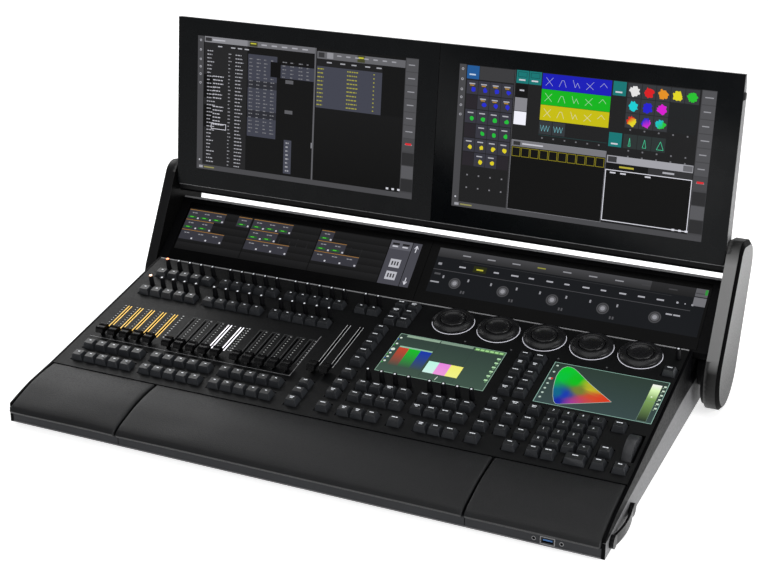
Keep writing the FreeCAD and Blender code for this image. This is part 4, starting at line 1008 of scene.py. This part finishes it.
def right_main():
    view = Display(30.5, 0.0, 354.0, 199.1, 30, seed=22)
    side_bars(view)
    view.areas((32, 4, 82, 95, (32, 92, 156)), (42, 60, 68, 70, (200, 216, 236), 2), (84, 4, 225, 95, 60))
    for v, tint, count in ((105, BLUE, 4), (205, BLUE, 3), (305, GREEN, 4), (405, GREEN, 3), (505, YELLOW, 4),
                           (605, YELLOW, 2)):
        first = 0 if count == 4 else 1
        for k in range(4):
            u = 34 + 48 * k
            filled = first <= k < first + count
            view.area(u, v, u + 46, v + 94, (56, 56, 66) if filled else (40, 36, 42))
            if filled:
                view.blob(u + 28, v + 60, 3.4, tint, 3, 9)
                view.area(u + 10, v + 18, u + 34, v + 26, 182, 2)
            if filled and tint == BLUE:
                view.area(u + 13, v + 30, u + 30, v + 36, (200, 150, 60), 2)
    for v in (760, 850):
        view.row(4, 48, 55, v, 61, v + 10, 130)
    view.area(228, 0, 229.5, 962, 92, 2)
    for u in (234, 285):
        view.area(u, 0, u + 49, 88, TEAL)
        view.outline(u + 6, 10, u + 42, 45, 0.5, (10, 60, 60), 2)
        view.area(u + 10, 60, u + 36, 70, 215, 2)
    view.areas((234, 92, 283, 182, 12), (250, 130, 268, 140, 200, 2), (234, 186, 283, 276, 140),
               (234, 280, 283, 370, 250))
    for k, tint in enumerate(((22, 26, 190), (14, 186, 28), (206, 196, 10))):
        v = 4 + 106 * k
        view.area(338, v, 608, v + 104, tint)
        pale = [tuple(c + (1 - c) * 0.45 for c in ink(tint))] * 4
        for i, sign in enumerate(SIGNS):
            u = 352 + 53 * i
            view.stroke([(u + 28 * a, v + 25 + 55 * b) for a, b in sign], 0.55, pale, 2)
            if i in (0, 3):
                view.stroke([(u + 28, v + 25), (u, v + 80)], 0.55, pale, 3)
    for u in (338, 391):
        view.area(u, 326, u + 50, 415, (52, 56, 60))
        view.stroke([(u + 5 + 6 * k, 395 if k % 2 else 355) for k in range(7)], 0.5, (120, 190, 200), 2)
    for v in (420, 475):
        view.area(338, v, 608, v + 4, (34, 62, 62), 2)
        view.row(6, 45, 350, v + 18, 356, v + 27, 120)
    view.areas((614, 4, 664, 98, TEAL), (624, 70, 650, 80, 215, 2), (614, 345, 664, 440, TEAL),
               (624, 415, 650, 425, 215, 2))
    for row, tints in enumerate(BLOTS):
        v = 6 + 100 * row
        for k in range(5):
            view.area(670 + 54 * k, v, 722 + 54 * k, v + 96, (54, 56, 60) if k < len(tints) else (30, 32, 34))
        for k, tint in enumerate(tints):
            view.blob(696 + 54 * k, v + 52, 7.0, tint)
    for k, wide in enumerate((4, 7, 13)):
        u = 690 + 54 * k
        view.area(u - 20, 345, u + 32, 440, (44, 52, 52))
        view.stroke([(u, 425), (u + wide, 370), (u + 2 * wide, 425), (u, 425)], 0.6, (70, 214, 160), 2)
    for v in (310, 450, 490):
        view.row(5, 54, 690, v, 696, v + 10, 118)
    view.areas((234, 478, 608, 520, 124, 3), (240, 486, 268, 512, 52, 4), (276, 494, 360, 504, 205, 4),
               (234, 520, 608, 962, 9, 3))
    for k in range(10):
        view.outline(236 + 37.2 * k, 526, 270 + 37.2 * k, 590, 0.7, (150, 140, 30), 4)
    view.outline(232, 476, 610, 964, 0.4, 150, 5)
    view.areas((614, 500, 942, 550, 168, 3), (618, 506, 652, 544, 60, 4), (905, 506, 940, 544, 110, 4),
               (614, 550, 942, 596, 14, 3), (664, 566, 720, 578, (190, 180, 60), 4),
               (775, 552, 942, 594, 50, 4), (830, 566, 874, 578, 180, 5), (614, 596, 942, 945, 10, 3))
    view.outline(612, 596, 943, 948, 1.0, 232, 5)
    for u in (630, 670, 765):
        view.area(u, 610, u + 22, 620, 215, 4)
    view.show("picture_main_right", WING, "wing_tilt", "wing_front_glass")


# Playback cells of the left strip, as (row, left, right, number of handles).
CELLS = ((0, 0, 165, 3), (0, 222, 280, 1), (0, 290, 462, 3), (0, 585, 640, 1), (1, 0, 125, 2),
         (1, 290, 412, 2), (1, 585, 705, 2), (2, 0, 190, 3), (2, 290, 476, 3), (2, 585, 772, 3))


def left_strip():
    view = Display(-400.0, 25.5, 386.0, 71.5, 19, -0.3, 23)
    for row in range(6):
        view.fade(0, 20 + 162 * row, 872, 172 + 162 * row, 30, 19)
    for row, u0, u1, count in CELLS:
        v = 30 + 245 * row
        view.areas((u0, v, u1, v + 235, (56, 56, 64), 2), (u0, v, u1, v + 14, (160, 116, 60), 3))
        step = (u1 - u0) / count
        for k in range(count):
            u = u0 + step * k
            view.areas((u + 16, v + 66, u + 24, v + 86, 150, 3), (u + 27, v + 66, u + 38, v + 86, 150, 3))
            if row < 2:
                view.areas((u + 4, v + 155, u + 40, v + 200, (32, 92, 40), 3),
                           (u + 13, v + 166, u + 28, v + 186, (84, 204, 60), 4))
            view.area(u + step - 10, v + 180, u + step - 3, v + 215, 205, 4)
    for k in range(14):
        u = 200 + 45 * (k % 7) + 300 * (k // 7)
        view.area(u, 300 + 220 * view.dice.random(), u + 4, 560, 44)
    for u in (285, 580, 872):
        view.area(u, 0, u + 3.5, 1000, 5, 5)
    view.areas((876, 0, 962, 1000, DULL_SLATE, 3), (965, 0, 1000, 1000, DULL_SLATE, 3),
               (876, 0, 962, 200, (98, 98, 106), 4))
    for u in (884, 924):
        view.areas((u, 55, u + 28, 100, 30, 5), (u + 2, 120, u + 24, 150, 205, 5))
    for v in (420, 700):
        view.area(898, v, 940, v + 190, 192, 4)
        view.row(3, 11, 905, v + 50, 911, v + 140, 60, 5)
    for v, tip in ((140, -70), (860, 70)):
        view.stroke([(982, v - tip), (982, v + tip)], 1.3, 225, 4)
        view.stroke([(975, v + tip * 0.2), (982, v + tip * 1.2), (989, v + tip * 0.2)], 1.1, 225, 5)
    view.show("picture_strip_left", STRIP, "wing_lift", "display_glass")


def right_strip():
    view = Display(14.0, 25.5, 386.0, 71.5, (19, 21, 25), -0.3, 24)
    view.fade(0, 0, 800, 200, 72, 44, 1, 4)
    view.fade(800, 0, 955, 200, 44, 30, 1, 4)
    for k in range(10):
        tint = (150, 148, 60) if k == 3 else 66 if k > 6 else 150
        view.area(95 + 96 * k, 92, 126 + 96 * k, 117, tint, 2)
    view.area(150, 285, 200, 425, (40, 44, 14))
    for k in range(12):
        u = 95 + 67 * k
        view.area(u, 345, u + view.dice.uniform(18, 28), 376, (200, 194, 60) if k == 1 else 176, 2)
    view.area(12, 330, 26, 380, 150, 2)
    for u, radius in ((905, 1.7), (932, 1.0), (958, 1.7)):
        view.dot(u, 360, radius, 170, 2, 8)
    view.areas((0, 480, 955, 492, 74, 2), (100, 235, 880, 243, 52, 2))
    for k in range(5):
        u = 98 + 186 * k
        for layer, radius, level in ((1, 8.6, 72), (2, 6.9, 54), (3, 5.6, 98), (4, 3.2, 150)):
            view.dot(u, 735, radius, level, layer, 40)
        if k < 4:
            for offset, v, level in ((-50, 630, 150), (48, 630, 150), (34, 900, 84), (44, 900, 84)):
                view.area(u + offset - 3, v - 30, u + offset + 3, v + 30, level, 2)
        else:
            view.areas((u + 34, 612, u + 56, 642, 172, 2), (u + 60, 612, u + 84, 642, 172, 2))
    view.areas((4, 750, 38, 780, 160, 2), (10, 560, 34, 600, 80, 2), (957, 0, 1000, 170, 96, 2),
               (957, 190, 1000, 370, 118, 2), (990, 10, 999, 120, (50, 150, 60), 3))
    view.show("picture_strip_right", STRIP, "wing_lift", "display_glass")


def command_left():
    view = Display(25.8, 117.3, 151.4, 88.4, (58, 76, 68), -0.4)
    view.fade(0, 0, 1000, 1000, (50, 66, 60), (66, 88, 76), 1, 6)
    view.areas((70, 12, 385, 65, (150, 176, 154), 2), (395, 12, 700, 65, (132, 156, 138), 2),
               (715, 12, 995, 85, (92, 132, 86), 2))
    view.row(6, 44, 725, 30, 758, 68, (170, 226, 150), 3)
    for u in (395, 705):
        view.area(u, 65, u + 3, 940, (48, 62, 56), 2)
    for u0, u1, tint in ((70, 165, (206, 70, 44)), (165, 275, (16, 196, 40)), (275, 380, (22, 56, 176))):
        view.area(u0, 305, u1, 340, (150, 196, 170), 3)
        view.fade(u0, 340, u1, 820, tint, (62, 82, 72), 3, 10)
    for u0, u1, top, low in ((403, 500, (196, 255, 236), (214, 250, 240)),
                             (500, 610, (240, 140, 232), (246, 160, 226)),
                             (610, 722, (250, 246, 120), (250, 250, 140))):
        view.fade(u0, 540, u1, 825, top, low, 3, 2)
    for k, v in enumerate((110, 270, 420, 520, 620, 730)):
        view.dot(28, v, 3.0 if k == 2 else 1.8, (226, 240, 226), 3, 10)
        view.area(0, v + 30, 18, v + 50, ((40, 70, 190), (60, 180, 60))[k % 2], 2)
    for k in range(6):
        v = 170 + 110 * k
        view.areas((952, v, 984, v + 35, (186, 230, 180), 3), (965, v + 50, 980, v + 70, (120, 170, 120), 3))
    view.stroke([(552, 960), (560, 870)], 0.8, (226, 240, 226), 3)
    view.outline(0, 0, 1000, 1000, 0.8, (146, 178, 160), 5)
    view.show("picture_command_left", DECK, "base", "screen_glass")


HORSESHOE = ((118, 60), (150, 58), (186, 80), (235, 145), (300, 248), (379, 369), (460, 478), (540, 583),
             (616, 683), (520, 752), (420, 822), (310, 896), (215, 958), (190, 960), (165, 915), (135, 800),
             (106, 640), (86, 480), (74, 330), (76, 210), (90, 115))
HUES = (((120, 100), (0, 206, 44)), ((120, 320), (0, 200, 60)), ((260, 360), (10, 196, 30)),
        ((400, 460), (200, 190, 40)), ((320, 560), (120, 130, 50)), ((560, 660), (226, 60, 30)),
        ((440, 680), (214, 76, 44)), ((360, 780), (200, 70, 90)), ((270, 880), (170, 60, 160)),
        ((200, 900), (20, 40, 170)), ((160, 700), (10, 110, 140)), ((220, 720), (24, 60, 180)))
HEART = (255, 560)
HUE_RINGS = 12


def hue(u, v):
    """The colour at a place of the horseshoe, mixed from the hues by their nearness."""
    total, mixed = 0.0, [0.0, 0.0, 0.0]
    for (a, b), tint in HUES:
        weight = 1.0 / ((u - a) ** 2 + (v - b) ** 2 * 0.34 + 400) ** 2
        total += weight
        mixed = [m + weight * c for m, c in zip(mixed, tint)]
    return rgb(*(m / total for m in mixed))


def command_right():
    view = Display(243.8, 117.3, 151.4, 88.4, (50, 66, 60), -0.4)
    view.fade(0, 0, 1000, 1000, (46, 62, 54), (58, 76, 76), 1, 6)
    points, tints, count = [], [], len(HORSESHOE)
    low, high = view.between(2)
    for k in range(HUE_RINGS + 1):
        for place in HORSESHOE:
            spot = [h + (p - h) * (0.02 + 0.98 * k / HUE_RINGS) for p, h in zip(place, HEART)]
            points.append((*view.at(*spot), high))
            tints.append(hue(*spot))
    faces = [list(range(count))]
    for k in range(HUE_RINGS):
        for i in range(count):
            j = (i + 1) % count
            faces.append([k * count + i, (k + 1) * count + i, (k + 1) * count + j, k * count + j])
    base, rim = len(points), HUE_RINGS * count
    points += [(*view.at(u, v), low) for u, v in HORSESHOE]
    tints += tints[-count:]
    faces += [[rim + i, base + i, base + (i + 1) % count, rim + (i + 1) % count] for i in range(count)]
    faces.append([base + i for i in range(count)][::-1])
    view.add(points, faces, tints)
    view.stroke([*HORSESHOE, HORSESHOE[0]], 0.55, (176, 200, 190), 4)
    for v0, v1, top, low_tint, steps in ((100, 240, (255, 255, 250), (226, 255, 190), 3),
                                         (240, 450, (226, 255, 190), (132, 170, 96), 4),
                                         (450, 970, (132, 170, 96), (34, 46, 40), 6)):
        view.fade(870, v0, 950, v1, top, low_tint, 2, steps)
    view.dot(905, 400, 1.3, (240, 255, 220), 4, 10)
    view.outline(868, 500, 952, 975, 0.4, (120, 150, 130), 4)
    for k in range(6):
        v = 100 + 105 * k
        view.areas((966, v, 988, v + 35, (216, 236, 216), 3), (960, v + 50, 972, v + 65, (160, 190, 160), 3))
    for k, v in enumerate((80, 240, 410, 530, 650, 760, 870)):
        view.dot(36, v, 2.4 if k == 2 else 1.7, (196, 216, 204), 3, 10)
    view.area(40, 385, 58, 425, (214, 60, 50), 4)
    view.outline(0, 0, 1000, 1000, 0.8, (150, 190, 176), 5)
    view.show("picture_command_right", DECK, "base", "screen_glass")


# ---------------------------------------------------------------- light, floor and camera

def lights():
    world = bpy.data.worlds.new("studio")
    bpy.context.scene.world = world
    world.use_nodes = True
    sky = world.node_tree.nodes["Background"]
    sky.inputs["Color"].default_value = (1.0, 1.0, 1.0, 1.0)
    sky.inputs["Strength"].default_value = 0.24
    for name, place, aim, size, power in (
        ("left_box", (-2.1, 1.3, 1.7), (-0.3, 0, 0.1), 1.6, 24),
        ("rear_box", (0.75, 1.10, 2.10), (0.36, -0.24, 0.04), 0.9, 8),
        ("top_box", (0.0, -0.6, 2.8), (0, 0, 0.1), 2.4, 21),
        ("right_box", (2.3, -0.5, 0.9), (0.3, 0, 0.1), 1.2, 24),
        ("front_box", (0.3, -2.6, 0.8), (0, -0.1, 0.1), 1.4, 11),
    ):
        lamp_data = bpy.data.lights.new(name, "AREA")
        lamp_data.size = size
        lamp_data.energy = power
        box = bpy.data.objects.new(name, lamp_data)
        box.location = place
        box.rotation_euler = (Vector(aim) - Vector(place)).to_track_quat("-Z", "Y").to_euler()
        bpy.context.scene.collection.objects.link(box)


def floor():
    ground = Finish("floor", (0.93, 0.93, 0.93), 0.85)
    ground.tone(ground.noise(1.2, 2.0), 0.01)
    ground.set("Specular IOR Level", 0.0)
    ground.set("Emission Color", (1.0, 1.0, 1.0, 1.0))
    ground.set("Emission Strength", 0.66)
    mesh = bpy.data.meshes.new("floor")
    half = 12.0
    mesh.from_pydata([(-half, -half, 0), (half, -half, 0), (half, half, 0), (-half, half, 0)], [],
                     [(0, 1, 2, 3)])
    mesh.materials.append(ground.material)
    sheet = bpy.data.objects.new("floor", mesh)
    bpy.context.scene.collection.objects.link(sheet)


def camera():
    lens = bpy.data.cameras.new("view")
    lens.lens = 70.73
    lens.sensor_width = 36.0
    eye = bpy.data.objects.new("view", lens)
    eye.location = (0.7766, -1.6949, 0.9190)
    eye.rotation_euler = (math.radians(67.69), 0.0, math.radians(24.53))
    bpy.context.scene.collection.objects.link(eye)
    bpy.context.scene.camera = eye


for rest in REST_SPANS:
    padded_rest(rest)
key_marks()
knob_dots()
deck_print()
fader_lights()
encoder_turnings()
encoder_lights()
rail_details()
rear_details()
wing_back_details()
deck_trim()
left_main()
right_main()
left_strip()
right_strip()
command_left()
command_right()
bpy.context.scene.view_settings.view_transform = "Standard"
lights()
floor()
camera()

bpy.context.view_layer.update()
